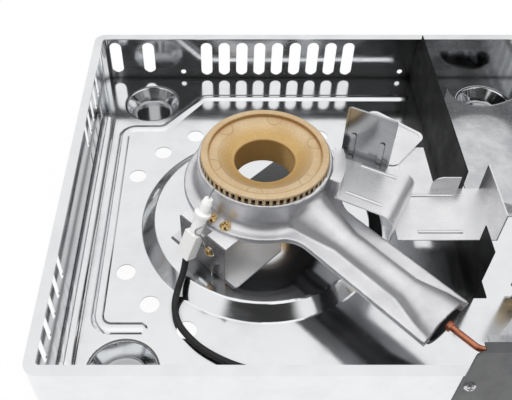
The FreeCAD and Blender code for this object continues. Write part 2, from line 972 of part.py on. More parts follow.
def tube_section(name, along, half, rise):
    """One upright section of the mixing tube: a flat base and a round back over or under it."""
    radius = (half * half + rise * rise) / (2 * rise)
    if number_of(rise) < 0:
        radius = -radius
    sense = 1 if number_of(rise) > 0 else -1
    sketch = doc.addObject("Sketcher::SketchObject", name)
    draw(sketch, [[(-half, 0), (half, 0, radius, sense), (0, rise, radius, sense)]])
    heading = -dim.tube_angle
    spot = at_burner(along * cosine(heading), along * sine(heading), dim.joint_height)
    return place(sketch, spot, turn_about_z(heading) * FACING_RIGHT)


def tube_loft(name, stations, ruled):
    item = doc.addObject("Part::Loft", name)
    item.Sections = [tube_section(f"{name}_section_{index}", *station)
                     for index, station in enumerate(stations, start=1)]
    item.Solid = True
    item.Ruled = ruled
    return item


def tube_solid(name, inset, side):
    """One half of the mixing tube, over the joint (side 1) or under it (side -1), drawn in by inset."""
    straight = dim.tube_radius - inset
    end = dim.tube_length + inset
    flare = [
        (dim.flare_start, straight, side * straight),
        (dim.flare_middle, dim.flare_middle_half - inset, side * (dim.mouth_rise - inset)),
        (end, dim.mouth_half - inset, side * (dim.mouth_rise - inset)),
    ]
    if side > 0:
        neck = [
            (dim.neck_near, dim.neck_near_radius - inset, dim.neck_near_radius - inset),
            (dim.neck_middle, dim.neck_middle_radius - inset, dim.neck_middle_radius - inset),
            (dim.neck_end, straight, straight),
        ]
        run = [(dim.neck_end, straight, straight), (dim.flare_start, straight, straight)]
        return fused(name, tube_loft(f"{name}_neck", neck, False), tube_loft(f"{name}_run", run, True),
                     tube_loft(f"{name}_flare", flare, True))
    start = dim.bowl_bore + 2 * dim.tube_wall - 2 * inset
    run = [(start, straight, -straight), (dim.flare_start, straight, -straight)]
    return fused(name, tube_loft(f"{name}_run", run, True), tube_loft(f"{name}_flare", flare, True))


def joint_flange(name, level):
    """The flat flange where the two castings meet: a disc and a strip along the tube."""
    half = dim.tube_flange_half
    radius = dim.joint_flange_radius
    meet = root(radius * radius - half * half)
    body = padded(name, [[
        (meet, half, radius, 1),
        (0, radius, radius, 1),
        (-radius, 0, radius, 1),
        (0, -radius, radius, 1),
        (meet, -half),
        (dim.tube_length, -half),
        (dim.tube_length, half),
    ]], dim.joint_flange, at_burner(0, 0, level), turn_about_z(-dim.tube_angle))

    def chosen(edge):
        box_of = edge.BoundBox
        upright = box_of.ZLength > 1e-3 and box_of.XLength < 1e-3 and box_of.YLength < 1e-3
        return upright and abs(box_of.XMin - meet.number) < 1e-3
    return round_edges(body, dim.tube_flange_fillet, chosen)


def joint_screw_spots(level):
    angles = (dim.joint_screw_left_angle, dim.joint_screw_middle_angle, dim.joint_screw_back_angle)
    return [at_burner(dim.joint_screw_circle * cosine(angle), dim.joint_screw_circle * sine(angle), level)
            for angle in angles]


def joint_screw_holes(name):
    radius = dim.joint_screw_diameter / 2 + dim.screw_clearance
    low = dim.joint_height - 4 * dim.joint_flange
    return [rod(f"{name}_{index}", radius, 8 * dim.joint_flange, spot)
            for index, spot in enumerate(joint_screw_spots(low), start=1)]


def burner_upper():
    """The upper casting: bowl wall with the ledge for the cap, joint flange and the back of the tube."""
    level = dim.joint_height
    top = level + dim.joint_flange
    bowl = turned("upper_bowl", [
        (dim.bowl_bore, level),
        (dim.bowl_radius + dim.bowl_round, level),
        (dim.bowl_radius + dim.bowl_round, top, dim.bowl_round, -1),
        (dim.bowl_radius, top + dim.bowl_round),
        (dim.bowl_radius, dim.rim_height),
        (dim.ledge_radius, dim.rim_height),
        (dim.ledge_radius, dim.ledge_height),
        (dim.bowl_bore, dim.ledge_height),
    ], at_burner())
    tube = tube_solid("upper_tube", as_size(0), 1)
    solid = fused("upper_solid", bowl, joint_flange("upper_flange", level), tube)
    chamber = rod("upper_chamber", dim.bowl_bore, dim.rim_height, at_burner(0, 0, level - dim.joint_flange))
    seat_radius = dim.joint_screw_head / 2 + dim.screw_seat_margin
    seats = [rod(f"upper_seat_{index}", seat_radius, dim.bowl_round, spot)
             for index, spot in enumerate(joint_screw_spots(top), start=1)]
    return cut("burner_upper", solid, chamber, tube_solid("upper_bore", dim.tube_wall, 1),
               *joint_screw_holes("upper_hole"), *seats)


def burner_lower():
    """The lower casting: pan with the hub that holds the cap's tube, flange and the belly of the tube."""
    level = dim.joint_height
    hub = dim.cap_hole_radius + dim.cap_wall + dim.hub_clearance
    hub_outside = hub + dim.hub_wall
    floor = dim.pan_bottom + dim.pan_wall
    inner = dim.pan_radius - dim.pan_wall
    pan = turned("lower_pan", [
        (hub, dim.hub_foot),
        (dim.pan_flat_inner, dim.pan_bottom),
        (dim.pan_flat_outer, dim.pan_bottom),
        (dim.pan_radius, dim.pan_bottom + dim.pan_radius - dim.pan_flat_outer),
        (dim.pan_radius, level),
        (inner, level),
        (inner, dim.pan_bottom + dim.pan_radius - dim.pan_flat_outer),
        (dim.pan_flat_outer - dim.pan_wall / 2, floor),
        (dim.pan_flat_inner + dim.pan_wall / 2, floor),
        (hub_outside, dim.hub_foot + dim.pan_wall),
        (hub_outside, dim.hub_height),
        (hub, dim.hub_height),
    ], at_burner())
    flange_bore = rod("lower_flange_bore", inner, 4 * dim.joint_flange,
                      at_burner(0, 0, level - 2 * dim.joint_flange))
    flange = cut("lower_flange_ring", joint_flange("lower_flange", level - dim.joint_flange), flange_bore)
    solid = fused("lower_solid", pan, flange, tube_solid("lower_tube", as_size(0), -1))
    return cut("burner_lower", solid, tube_solid("lower_bore", dim.tube_wall, -1),
               *joint_screw_holes("lower_hole"))


def burner_cap():
    """The brass cap: dished top, air tube through the middle and a crown of flame ports under the rim."""
    recess = dim.cap_top - dim.cap_recess
    foot = dim.cap_top - dim.cap_edge
    under = recess - dim.cap_wall
    inner = dim.cap_hole_radius + dim.cap_wall
    lip_end = dim.cap_hole_radius + dim.cap_lip
    skirt_inner = dim.cap_radius - dim.cap_skirt
    body = turned("burner_cap", [
        (dim.cap_hole_radius, dim.cap_tube_foot),
        (inner, dim.cap_tube_foot),
        (inner, dim.cap_hole_height - dim.cap_wall),
        (dim.cap_dish_radius, under - dim.cap_edge),
        (skirt_inner, under),
        (skirt_inner, dim.ledge_height),
        (dim.cap_radius, dim.ledge_height),
        (dim.cap_radius, foot, dim.cap_edge, 1),
        (dim.cap_radius - dim.cap_edge, dim.cap_top),
        (dim.cap_rim_inner, dim.cap_top),
        (dim.cap_rim_inner, recess),
        (dim.cap_dish_radius, recess - dim.cap_edge / 2),
        (lip_end, dim.cap_hole_height, dim.cap_lip, 1),
        (dim.cap_hole_radius, dim.cap_hole_height - dim.cap_lip),
    ], at_burner())
    doc.recompute()
    plain = body.Tip.Shape.Volume
    half = dim.port_width / 2
    sketch = body_sketch(body, "XY_Plane", [rectangle(skirt_inner - dim.port_inset, -half,
                                                      dim.cap_radius + dim.cap_edge, half)])
    bind(sketch, "AttachmentOffset.Base.z", dim.ledge_height)
    port = body.newObject("PartDesign::Pocket", "burner_cap_port")
    port.Profile = sketch
    port.Reversed = True
    bind(port, "Length", dim.port_height)
    doc.recompute()
    ports = body.newObject("PartDesign::PolarPattern", "burner_cap_ports")
    ports.Originals = [port]
    axis = next(item for item in body.Origin.OriginFeatures if item.Role == "Z_Axis")
    ports.Axis = (axis, [""])
    ports.Angle = FULL_TURN
    bind(ports, "Occurrences", dim.port_count)
    body.Tip = ports
    doc.recompute()
    print("flame ports take", round(plain - body.Shape.Volume, 1), "cubic mm from the cap")
    return body


def cross_head_screw(name, spot, turn, shank, length, head, rise):
    """A pan head screw with a cross recess. Its head stands on the local XY plane, its shank below it."""
    body = turned(f"{name}_blank", [
        (0, -length),
        (shank / 2, -length),
        (shank / 2, 0),
        (head / 2, 0),
        (head / 2, rise / 2),
        (head / 2 - rise / 2, rise),
        (0, rise),
    ], spot, turn)
    slots = []
    for index, (across, along) in enumerate(((dim.cross_length, dim.cross_width),
                                             (dim.cross_width, dim.cross_length)), start=1):
        loop = rectangle(-across / 2, -along / 2, across / 2, along / 2)
        tip = spot_vector(spot) + turn.multVec(Vector(0, 0, number_of(rise - dim.cross_depth)))
        slots.append(padded(f"{name}_cross_{index}", [loop], 2 * dim.cross_depth, tuple(tip), turn))
    return cut(name, body, *slots)


def burner_screws():
    top = dim.joint_height + dim.joint_flange
    screws = [cross_head_screw(f"joint_screw_{index}", spot, FLAT, dim.joint_screw_diameter,
                               dim.joint_screw_length, dim.joint_screw_head, dim.joint_screw_head_height)
              for index, spot in enumerate(joint_screw_spots(top), start=1)]
    return group("burner_screws", screws)


STAND_TURN = turn_about_z(-dim.stand_angle)


def at_stand(along, out, z):
    """A spot given along the stand's front plate, outwards from the burner axis, and up."""
    heading = -dim.stand_angle
    x = along * cosine(heading) + out * sine(heading)
    y = along * sine(heading) - out * cosine(heading)
    return at_burner(x, y, z)


def burner_stand():
    """Bent sheet under the burner: base on the plateau, front plate, side, top with lugs and rear leg."""
    sheet_of = dim.stand_sheet
    foot = dim.plateau_height
    top = dim.joint_height - dim.joint_flange
    left = -dim.stand_left
    right = dim.stand_right
    notch_left = -dim.stand_notch_left
    notch_right = dim.stand_notch_right
    facing = STAND_TURN * FACING_FRONT
    face = dim.stand_distance + sheet_of
    front = padded("stand_front", [[
        (left, foot),
        (right, foot),
        (right, top),
        (notch_right, top),
        (notch_right, dim.stand_notch_low),
        (notch_left, dim.stand_notch_low),
        (notch_left, top),
        (left, top),
    ]], sheet_of, at_stand(as_size(0), dim.stand_distance, 0), facing)
    side = box("stand_side", sheet_of, dim.stand_side_depth, top - foot,
               at_stand(left, dim.stand_distance, foot), STAND_TURN)
    inside = dim.stand_notch_depth - dim.stand_distance
    lugs = padded("stand_lugs", [[
        (left, -dim.stand_distance),
        (notch_left, -dim.stand_distance),
        (notch_left, inside),
        (notch_right, inside),
        (notch_right, -dim.stand_distance),
        (right, -dim.stand_distance),
        (right, -dim.stand_lug_inner),
        (left, -dim.stand_lug_inner),
    ]], sheet_of, at_stand(as_size(0), as_size(0), top - sheet_of), STAND_TURN)
    base = padded("stand_base", [[
        (-dim.base_left, -face),
        (dim.base_right - dim.base_corner / 2, -face),
        (dim.base_right, -face + dim.base_corner),
        (dim.base_right, -dim.base_step),
        (dim.base_tongue, -dim.base_step + dim.base_right - dim.base_tongue),
        (dim.base_tongue, dim.base_back),
        (-dim.base_left, dim.base_back),
    ]], sheet_of, at_stand(as_size(0), as_size(0), foot), STAND_TURN)
    leg = box("stand_rear_leg", dim.rear_leg_width, sheet_of, top - foot,
              at_stand(-dim.rear_leg_width / 2, -dim.rear_leg_distance, foot), STAND_TURN)
    solid = fused("stand_solid", front, side, lugs, base, leg)
    behind = at_stand(dim.stand_screw_side, dim.stand_distance - sheet_of, dim.stand_screw_height)
    hole_radius = dim.joint_screw_diameter / 2 + dim.screw_clearance
    hole = rod("stand_hole", hole_radius, 4 * sheet_of, behind, facing)
    return cut("burner_stand", solid, hole, *joint_screw_holes("stand_lug_hole"))


def lock_tab():
    """The tab of the case that comes up in front of the stand and is twisted to hold it."""
    half = dim.lock_tab_width / 2
    neck = dim.lock_tab_neck / 2
    base = dim.plateau_height
    shoulder = dim.lock_tab_height / 2
    out = dim.stand_distance + dim.lock_tab_out
    thick = dim.stand_sheet
    return padded("lock_tab", [[
        (-neck, 0),
        (neck, 0),
        (neck, shoulder / 2),
        (half, shoulder),
        (half, dim.lock_tab_height),
        (-half, dim.lock_tab_height),
        (-half, shoulder),
        (-neck, shoulder / 2),
    ]], thick, at_stand(dim.lock_tab_side, out, base),
        turn_about_z(-dim.stand_angle - dim.lock_tab_twist) * FACING_FRONT)


def stand_screw():
    """The brass screw that holds the spring clip to the stand's front plate."""
    out = dim.stand_distance + dim.stand_sheet + dim.clip_wall
    spot = at_stand(dim.stand_screw_side, out, dim.stand_screw_height)
    return cross_head_screw("stand_screw", spot, STAND_TURN * FACING_FRONT, dim.joint_screw_diameter,
                            dim.joint_screw_length, dim.joint_screw_head, dim.joint_screw_head_height)


ELECTRODE_LEAN = Vector(dim.electrode_lean_x.number, dim.electrode_lean_y.number, dim.electrode_rise.number)
ELECTRODE_TURN = Rotation(UP, ELECTRODE_LEAN) * STAND_TURN
ELECTRODE_LENGTH = root(dim.electrode_lean_x * dim.electrode_lean_x
                        + dim.electrode_lean_y * dim.electrode_lean_y
                        + dim.electrode_rise * dim.electrode_rise)


def at_electrode(along):
    """A spot on the electrode's axis, measured up from the bottom of its sleeve."""
    share = along / ELECTRODE_LENGTH
    return at_burner(dim.electrode_x + share * dim.electrode_lean_x,
                     dim.electrode_y + share * dim.electrode_lean_y,
                     dim.electrode_z + share * dim.electrode_rise)


def electrode_sleeve():
    loop = rounded(dim.sleeve_wide, dim.sleeve_deep, dim.clip_wall)
    solid = padded("sleeve_solid", [loop], dim.sleeve_length, at_electrode(as_size(0)), ELECTRODE_TURN)
    socket = rod("sleeve_socket_cut", dim.ceramic_core_radius, 2 * dim.sleeve_socket,
                 at_electrode(dim.sleeve_length - dim.sleeve_socket), ELECTRODE_TURN)
    return cut("electrode_sleeve", solid, socket)


def electrode_ceramic():
    start = dim.sleeve_length - dim.sleeve_socket
    collar = dim.ceramic_collar_start
    collar_end = collar + dim.ceramic_collar_length
    bevel = dim.clip_wall
    return turned("electrode_ceramic", [
        (0, start),
        (dim.ceramic_core_radius, start),
        (dim.ceramic_core_radius, dim.sleeve_length),
        (dim.ceramic_radius, dim.sleeve_length),
        (dim.ceramic_radius, collar),
        (dim.ceramic_collar_radius, collar + bevel),
        (dim.ceramic_collar_radius, collar_end - bevel),
        (dim.ceramic_neck_radius, collar_end),
        (dim.ceramic_neck_radius, ELECTRODE_LENGTH - dim.ceramic_collar_length),
        (dim.ceramic_tip_radius, ELECTRODE_LENGTH),
        (0, ELECTRODE_LENGTH),
    ], at_electrode(as_size(0)), ELECTRODE_TURN)


def spark_wire():
    """The thin wire out of the ceramic's tip, bent a little towards the flame ports."""
    start = spot_vector(at_electrode(ELECTRODE_LENGTH))
    lean = Vector(ELECTRODE_LEAN).normalize()
    half = number_of(dim.spark_wire_length) / 2
    inwards = Vector(lean.x, lean.y, 0).normalize()
    bent = Rotation(lean.cross(inwards), number_of(dim.spark_gap_tilt)).multVec(lean)
    wire = route([start, start + lean * half, start + lean * half + bent * half], [half])
    return tube_along("spark_wire", wire, number_of(dim.spark_wire_diameter) / 2)


def electrode_clip():
    """Spring clip: a band round the ceramic and an arm to the screw on the stand."""
    outer = dim.ceramic_radius + dim.clip_wall
    turned_away = ELECTRODE_TURN * turn_about_z(180)
    band = padded("clip_band", [circle(0, 0, outer), circle(0, 0, dim.ceramic_radius)], dim.clip_height,
                  at_electrode(dim.clip_start), turned_away)
    out = dim.stand_distance + dim.stand_sheet
    head = dim.joint_screw_head / 2
    screw_x = dim.stand_screw_side
    screw_z = dim.stand_screw_height
    arm = padded("clip_arm", [[
        (screw_x - head, screw_z - head),
        (screw_x + head, screw_z - head),
        (screw_x + head, screw_z + head),
        (screw_x - head, dim.clip_tab_high),
        (-dim.clip_tab_left, dim.clip_tab_high),
        (-dim.clip_tab_left, dim.clip_tab_low),
        (dim.clip_tab_inner, dim.clip_tab_low),
        (screw_x - head, screw_z + head),
    ]], dim.clip_wall, at_stand(as_size(0), out, 0), STAND_TURN * FACING_FRONT)
    hole = rod("clip_hole", dim.joint_screw_diameter / 2 + dim.screw_clearance, 4 * dim.clip_wall,
               at_stand(screw_x, out - dim.clip_wall, screw_z), STAND_TURN * FACING_FRONT)
    core = rod("clip_core", dim.ceramic_radius + dim.clip_wall / 2, 4 * dim.clip_height,
               at_electrode(dim.clip_start - dim.clip_height), turned_away)
    return fused("electrode_clip", band, cut("clip_arm_cut", arm, hole, core))


HEAT_TURN = turn_about_z(-dim.heat_angle)


def at_heat(along, across, z):
    """A spot given along and across the heat plate from the burner axis, and up."""
    heading = -dim.heat_angle
    x = along * cosine(heading) - across * sine(heading)
    y = along * sine(heading) + across * cosine(heading)
    return at_burner(x, y, z)


def ring_sector(name, inner, outer, near, far, level, height):
    """Part of a flat ring about the burner axis between two angles from the heat plate's direction."""
    return padded(name, [[
        (inner * cosine(near), inner * sine(near)),
        (outer * cosine(near), outer * sine(near), outer, 1),
        (outer * cosine(far), outer * sine(far)),
        (inner * cosine(far), inner * sine(far), inner, -1),
    ]], height, at_heat(as_size(0), as_size(0), level), HEAT_TURN)


def half_round_rib(name, length, width, rise, spot, turn):
    """A pressed rib: a low rounded ridge along the local X axis."""
    half = width / 2
    radius = (half * half + rise * rise) / (2 * rise)
    return padded(name, [[(-half, 0), (half, 0, radius, 1), (0, rise, radius, 1)]], length, spot,
                  turn * FACING_RIGHT)


def heat_plate():
    """Aluminium plate that takes heat from beside the cap and bends down to the bridge."""
    sheet_of = dim.heat_sheet
    near = -dim.heat_near_side
    far = dim.heat_far_side
    top = dim.heat_level + sheet_of
    bend_end = dim.heat_bend_start + dim.heat_bend_radius
    low = dim.bridge_level + sheet_of
    inner_bend = dim.heat_bend_radius - sheet_of
    side = [
        (0, dim.heat_level),
        (dim.heat_bend_start, dim.heat_level, inner_bend, -1),
        (bend_end - sheet_of, top - dim.heat_bend_radius),
        (bend_end - sheet_of, low),
        (bend_end, low),
        (bend_end, top - dim.heat_bend_radius, dim.heat_bend_radius, 1),
        (dim.heat_bend_start, top),
        (0, top),
    ]
    strip = padded("heat_strip", [side], far - near, at_heat(as_size(0), far, 0), HEAT_TURN * FACING_FRONT)
    hollow = rod("heat_hollow", dim.heat_inner_radius - sheet_of, 4 * sheet_of,
                 at_burner(0, 0, dim.heat_level - sheet_of))
    plate = cut("heat_strip_cut", strip, hollow)
    ribs = [half_round_rib(f"heat_rib_{index}", dim.heat_rib_end - dim.heat_rib_start, dim.heat_rib_width,
                           dim.heat_rib_rise, at_heat(dim.heat_rib_start, across, top), HEAT_TURN)
            for index, across in enumerate((near + dim.heat_rib_inset, far - dim.heat_rib_inset), start=1)]
    inner = dim.heat_inner_radius - sheet_of
    lip = ring_sector("heat_lip", dim.lip_inner_radius, dim.heat_inner_radius, dim.lip_near_angle,
                      dim.lip_far_angle, dim.lip_level, sheet_of)
    riser = ring_sector("heat_riser", inner, dim.heat_inner_radius, dim.lip_near_angle, dim.lip_far_angle,
                        dim.heat_level, dim.lip_level - dim.heat_level)
    base = dim.joint_height + dim.joint_flange
    foot = ring_sector("heat_foot", inner, dim.heat_inner_radius, dim.heat_foot_near_angle,
                       dim.heat_foot_far_angle, base, dim.heat_level - base)
    return fused("heat_plate", plate, lip, riser, foot, *ribs)


def flame_shield():
    """The upright fin on the heat plate, with a raised frame and two pressed ribs."""
    sheet_of = dim.heat_sheet
    base = dim.heat_level + sheet_of
    length = dim.shield_end - dim.shield_start
    height = dim.shield_top - base
    spot = at_heat(dim.shield_start, dim.heat_far_side, base)
    facing = HEAT_TURN * FACING_FRONT
    corner = dim.shield_corner
    outline = [
        (0, 0),
        (length, 0),
        (length, height - corner, corner, 1),
        (length - corner, height),
        (corner, height, corner, 1),
        (0, height - corner),
    ]
    plate = padded("shield_plate", [outline], sheet_of, spot, facing)
    edge = dim.shield_frame
    frame = padded("shield_frame_ring", [outline, rectangle(edge, edge, length - edge, height - edge)],
                   sheet_of + dim.shield_frame_rise, spot, facing)
    ribs = []
    for index, across in enumerate((dim.shield_rib_inset, length - dim.shield_rib_inset), start=1):
        loop = upright_slot(across, edge, dim.shield_rib_height, dim.shield_rib_width)
        ribs.append(padded(f"shield_rib_{index}", [loop], sheet_of + dim.shield_rib_rise, spot, facing))
    foot = box("shield_foot_strip", length, dim.shield_foot, sheet_of,
               at_heat(dim.shield_start, dim.heat_far_side - dim.shield_foot, base), HEAT_TURN)
    return fused("flame_shield", plate, frame, foot, *ribs)


def rear_heat_plate():
    """The square plate behind the shield, with a raised frame, lying on the bridge."""
    spot = at_burner(dim.rear_plate_x, dim.rear_plate_y, dim.bridge_level + dim.heat_sheet)
    turn = turn_about_z(-dim.rear_plate_angle)
    outer = rounded(dim.rear_plate_length, dim.rear_plate_width, dim.rear_plate_corner)
    edge = dim.rear_plate_frame
    inner = rounded(dim.rear_plate_length - 2 * edge, dim.rear_plate_width - 2 * edge,
                    dim.rear_plate_corner - edge)
    plate = padded("rear_plate_sheet", [outer], dim.heat_sheet, spot, turn)
    frame_height = dim.heat_sheet + dim.rear_plate_frame_rise
    frame = padded("rear_plate_edge", [outer, inner], frame_height, spot, turn)
    return fused("rear_heat_plate", plate, frame)


def heat_bridge():
    """The plate that carries heat through the partition's window to the side of the cartridge."""
    sheet_of = dim.heat_sheet
    level = dim.bridge_level
    end = dim.cartridge_x - dim.cartridge_radius - dim.cartridge_clearance
    plate = padded("bridge_sheet", [[
        (dim.bridge_left, -dim.bridge_front),
        (end, -dim.bridge_front),
        (end, dim.bridge_back),
        (dim.bridge_tongue_right, dim.bridge_back),
        (dim.bridge_tongue_right, dim.bridge_tongue_back),
        (dim.bridge_tongue_left, dim.bridge_tongue_back),
        (dim.bridge_tongue_left, dim.bridge_back),
        (dim.bridge_left, dim.bridge_back),
    ]], sheet_of, at_burner(0, 0, level))
    ribs = [half_round_rib(f"bridge_rib_{index}", dim.bridge_rib_end - dim.bridge_rib_start,
                           dim.bridge_rib_width, dim.bridge_rib_rise,
                           at_burner(dim.bridge_rib_start, y, level + sheet_of), FLAT)
            for index, y in enumerate((-dim.bridge_front + dim.bridge_rib_inset,
                                       dim.bridge_back - dim.bridge_rib_inset), start=1)]
    corner = dim.bridge_tab_corner
    rise = dim.bridge_tab_rise
    tab = padded("bridge_tab", [[
        (dim.bridge_tab_left, 0),
        (dim.bridge_tab_right, 0),
        (dim.bridge_tab_right, rise),
        (dim.bridge_tab_left + corner, rise, corner, 1),
        (dim.bridge_tab_left, rise - corner),
    ]], sheet_of, at_burner(0, dim.bridge_back, level), FACING_FRONT)
    saddle = box("bridge_saddle", sheet_of, dim.bridge_front + dim.bridge_back, dim.saddle_end_rise,
                 at_burner(end - sheet_of, -dim.bridge_front, level))
    return fused("heat_bridge", plate, tab, saddle, *ribs)


def partition():
    """The sheet wall between burner and cartridge, with a window for the heat bridge."""
    back = dim.burner_from_back - dim.sheet - dim.partition_back_gap
    low = -dim.bridge_front - dim.window_clearance
    high = dim.bridge_back + dim.window_clearance
    wall = padded("partition_wall", [[
        (-dim.partition_front, 0),
        (back, 0),
        (back, dim.partition_height - dim.flange_width),
        (back - dim.flange_width, dim.partition_height - dim.flange_width),
        (back - dim.flange_width, dim.partition_height),
        (high, dim.partition_height),
        (high, dim.bridge_level),
        (low, dim.bridge_level),
        (low, dim.partition_height),
        (-dim.partition_front, dim.partition_height),
    ]], dim.sheet, at_burner(dim.partition_x, 0, 0), FACING_RIGHT)
    foot = box("partition_foot_strip", dim.partition_foot, back + dim.partition_front, dim.sheet,
               at_burner(dim.partition_x, -dim.partition_front, 0))
    return fused("partition", wall, foot)


def cartridge_cradle():
    """Base plate with two hollowed walls in which the cartridge lies."""
    half = dim.cradle_half
    radius = dim.cartridge_radius + dim.cartridge_clearance
    shoulder = dim.cartridge_axis_height - root(radius * radius - half * half)
    sheet_of = dim.heat_sheet
    base = box("cradle_base", 2 * half, dim.cradle_length, sheet_of,
               at_burner(dim.cartridge_x - half, dim.cradle_front, 0))
    low = dim.cartridge_axis_height - radius
    walls = []
    for index, along in enumerate((dim.cradle_inset, dim.cradle_length - dim.cradle_inset), start=1):
        walls.append(padded(f"cradle_wall_{index}", [[
            (-half, 0),
            (half, 0),
            (half, shoulder, radius, -1),
            (0, low, radius, -1),
            (-half, shoulder),
        ]], sheet_of, at_burner(dim.cartridge_x, dim.cradle_front + along, 0), FACING_FRONT))
    return fused("cartridge_cradle", base, *walls)


cam_y = -dim.governor_front - dim.cam_back_gap - dim.cam_length / 2
plunger_travel = dim.cam_offset * (1 - cosine(dim.knob_travel))
jet_y = -dim.governor_front + dim.jet_pipe_inset


def gas_jet():
    """The jet in front of the mixing tube's mouth and its pipe from the governor."""
    heading = math.radians(-number_of(dim.tube_angle))
    onward = Vector(math.cos(heading), math.sin(heading), 0)
    tip = number_of(dim.jet_start)
    corner = number_of(jet_y) / math.sin(heading)
    middle = spot_vector(at_burner(0, 0, dim.joint_height))
    end_x = dim.governor_left - dim.outlet_boss_length + dim.jet_seat
    end = spot_vector(at_burner(end_x, jet_y, dim.joint_height))
    wire = route([middle + onward * tip, middle + onward * corner, end], [number_of(dim.jet_bend)])
    pipe = tube_along("jet_pipe", wire, number_of(dim.jet_diameter) / 2)
    turn = turn_about_z(-dim.tube_angle) * ALONG_X
    collar = rod("jet_collar", dim.jet_collar_diameter / 2, dim.jet_collar_length,
                 tuple(middle + onward * tip), turn)
    return fused("gas_jet", pipe, collar)


def governor_middle():
    return dim.governor_left + dim.governor_length / 2, -dim.governor_front + dim.governor_depth / 2


def cover_screw_spots(level):
    x, y = governor_middle()
    reach = dim.cover_screw_circle
    return [at_burner(x + reach * cosine(angle), y + reach * sine(angle), level)
            for angle in (30, 150, 270)]


def governor_body():
    """The die-cast governor: block, seat of the diaphragm, gas inlet at the back and outlet to the jet."""
    x, y = governor_middle()
    top = dim.governor_bottom + dim.governor_height
    back = -dim.governor_front + dim.governor_depth
    outline = rounded(dim.governor_length, dim.governor_depth, dim.governor_corner)
    block = padded("governor_block", [outline], dim.governor_height, at_burner(x, y, dim.governor_bottom))
    seat = rod("governor_seat", dim.diaphragm_radius, dim.diaphragm_rise, at_burner(x, y, top))
    facing_back = Rotation(Vector(1, 0, 0), -90)
    inlet = rod("governor_inlet", dim.inlet_radius, dim.inlet_length,
                at_burner(dim.cartridge_x, back, dim.cartridge_axis_height), facing_back)
    outlet_x = dim.governor_left - dim.outlet_boss_length
    outlet = rod("governor_outlet", dim.outlet_boss_radius, dim.outlet_boss_length + dim.governor_corner,
                 at_burner(outlet_x, jet_y, dim.joint_height), ALONG_X)
    solid = fused("governor_solid", block, seat, inlet, outlet)
    bore_y = -dim.governor_front + dim.shaft_inside + dim.shaft_clearance
    bore = rod("governor_shaft_bore", dim.shaft_diameter / 2 + dim.shaft_clearance, dim.shaft_inside * 2,
               at_burner(dim.knob_x, bore_y, dim.knob_height), FACING_FRONT)
    jet_bore = rod("governor_jet_bore", dim.jet_diameter / 2 + dim.shaft_clearance, dim.outlet_boss_length,
                   at_burner(outlet_x, jet_y, dim.joint_height), ALONG_X)
    way_start = at_burner(dim.cartridge_x, back - dim.inlet_length / 2, dim.cartridge_axis_height)
    gas_way = rod("governor_gas_way", dim.seal_ring_radius - dim.seal_wire_radius, 2 * dim.inlet_length,
                  way_start, facing_back)
    hole_bottom = top + dim.diaphragm_rise - dim.cover_screw_depth
    holes = [rod(f"governor_hole_{index}", dim.cover_screw_diameter / 2 + dim.screw_clearance,
                 2 * dim.cover_screw_depth, spot)
             for index, spot in enumerate(cover_screw_spots(hole_bottom), start=1)]
    return cut("governor_body", solid, bore, jet_bore, gas_way, *holes)


def governor_cover():
    """The cap over the diaphragm, with a spring dome and a plug."""
    x, y = governor_middle()
    base = dim.governor_bottom + dim.governor_height + dim.diaphragm_rise
    dome = dim.cover_flange + dim.cover_dome_rise
    bend = dim.cover_plug_rise
    cover = turned("governor_cover_blank", [
        (0, 0),
        (dim.diaphragm_radius, 0),
        (dim.diaphragm_radius, dim.cover_flange),
        (dim.cover_dome_radius, dim.cover_flange),
        (dim.cover_dome_radius, dome - bend, bend, 1),
        (dim.cover_dome_radius - bend, dome),
        (dim.cover_plug_radius, dome),
        (dim.cover_plug_radius, dome + dim.cover_plug_rise),
        (0, dome + dim.cover_plug_rise),
    ], at_burner(x, y, base))
    hole_radius = dim.cover_screw_diameter / 2 + dim.screw_clearance
    holes = [rod(f"cover_hole_{index}", hole_radius, 4 * dim.cover_flange, spot)
             for index, spot in enumerate(cover_screw_spots(base - dim.cover_flange), start=1)]
    return cut("governor_cover", cover, *holes)


def governor_screws():
    top = dim.governor_bottom + dim.governor_height + dim.diaphragm_rise + dim.cover_flange
    length = dim.cover_flange + dim.cover_screw_depth - dim.screw_clearance
    screws = [cross_head_screw(f"cover_screw_{index}", spot, FLAT, dim.cover_screw_diameter, length,
                               dim.cover_screw_head, dim.cover_screw_head_height)
              for index, spot in enumerate(cover_screw_spots(top), start=1)]
    return group("governor_screws", screws)


def inlet_face():
    return -dim.governor_front + dim.governor_depth + dim.inlet_length


def inlet_collar():
    """The ring that the notch of a cartridge fits over, with its key at the top."""
    facing_back = Rotation(Vector(1, 0, 0), -90)
    spot = at_burner(dim.cartridge_x, inlet_face(), dim.cartridge_axis_height)
    ring = padded("collar_ring", [circle(0, 0, dim.collar_radius), circle(0, 0, dim.collar_bore_radius)],
                  dim.collar_length, spot, facing_back)
    key = box("collar_key", dim.collar_key_width, dim.collar_length, 2 * dim.collar_key_rise,
              at_burner(dim.cartridge_x - dim.collar_key_width / 2, inlet_face(),
                        dim.cartridge_axis_height + dim.collar_radius - dim.collar_key_rise))
    return fused("inlet_collar", ring, key)


def inlet_seal():
    item = doc.addObject("Part::Torus", "inlet_seal")
    bind(item, "Radius1", dim.seal_ring_radius)
    bind(item, "Radius2", dim.seal_wire_radius)
    middle_y = inlet_face() + dim.seal_wire_radius
    return place(item, at_burner(dim.cartridge_x, middle_y, dim.cartridge_axis_height), FACING_FRONT)


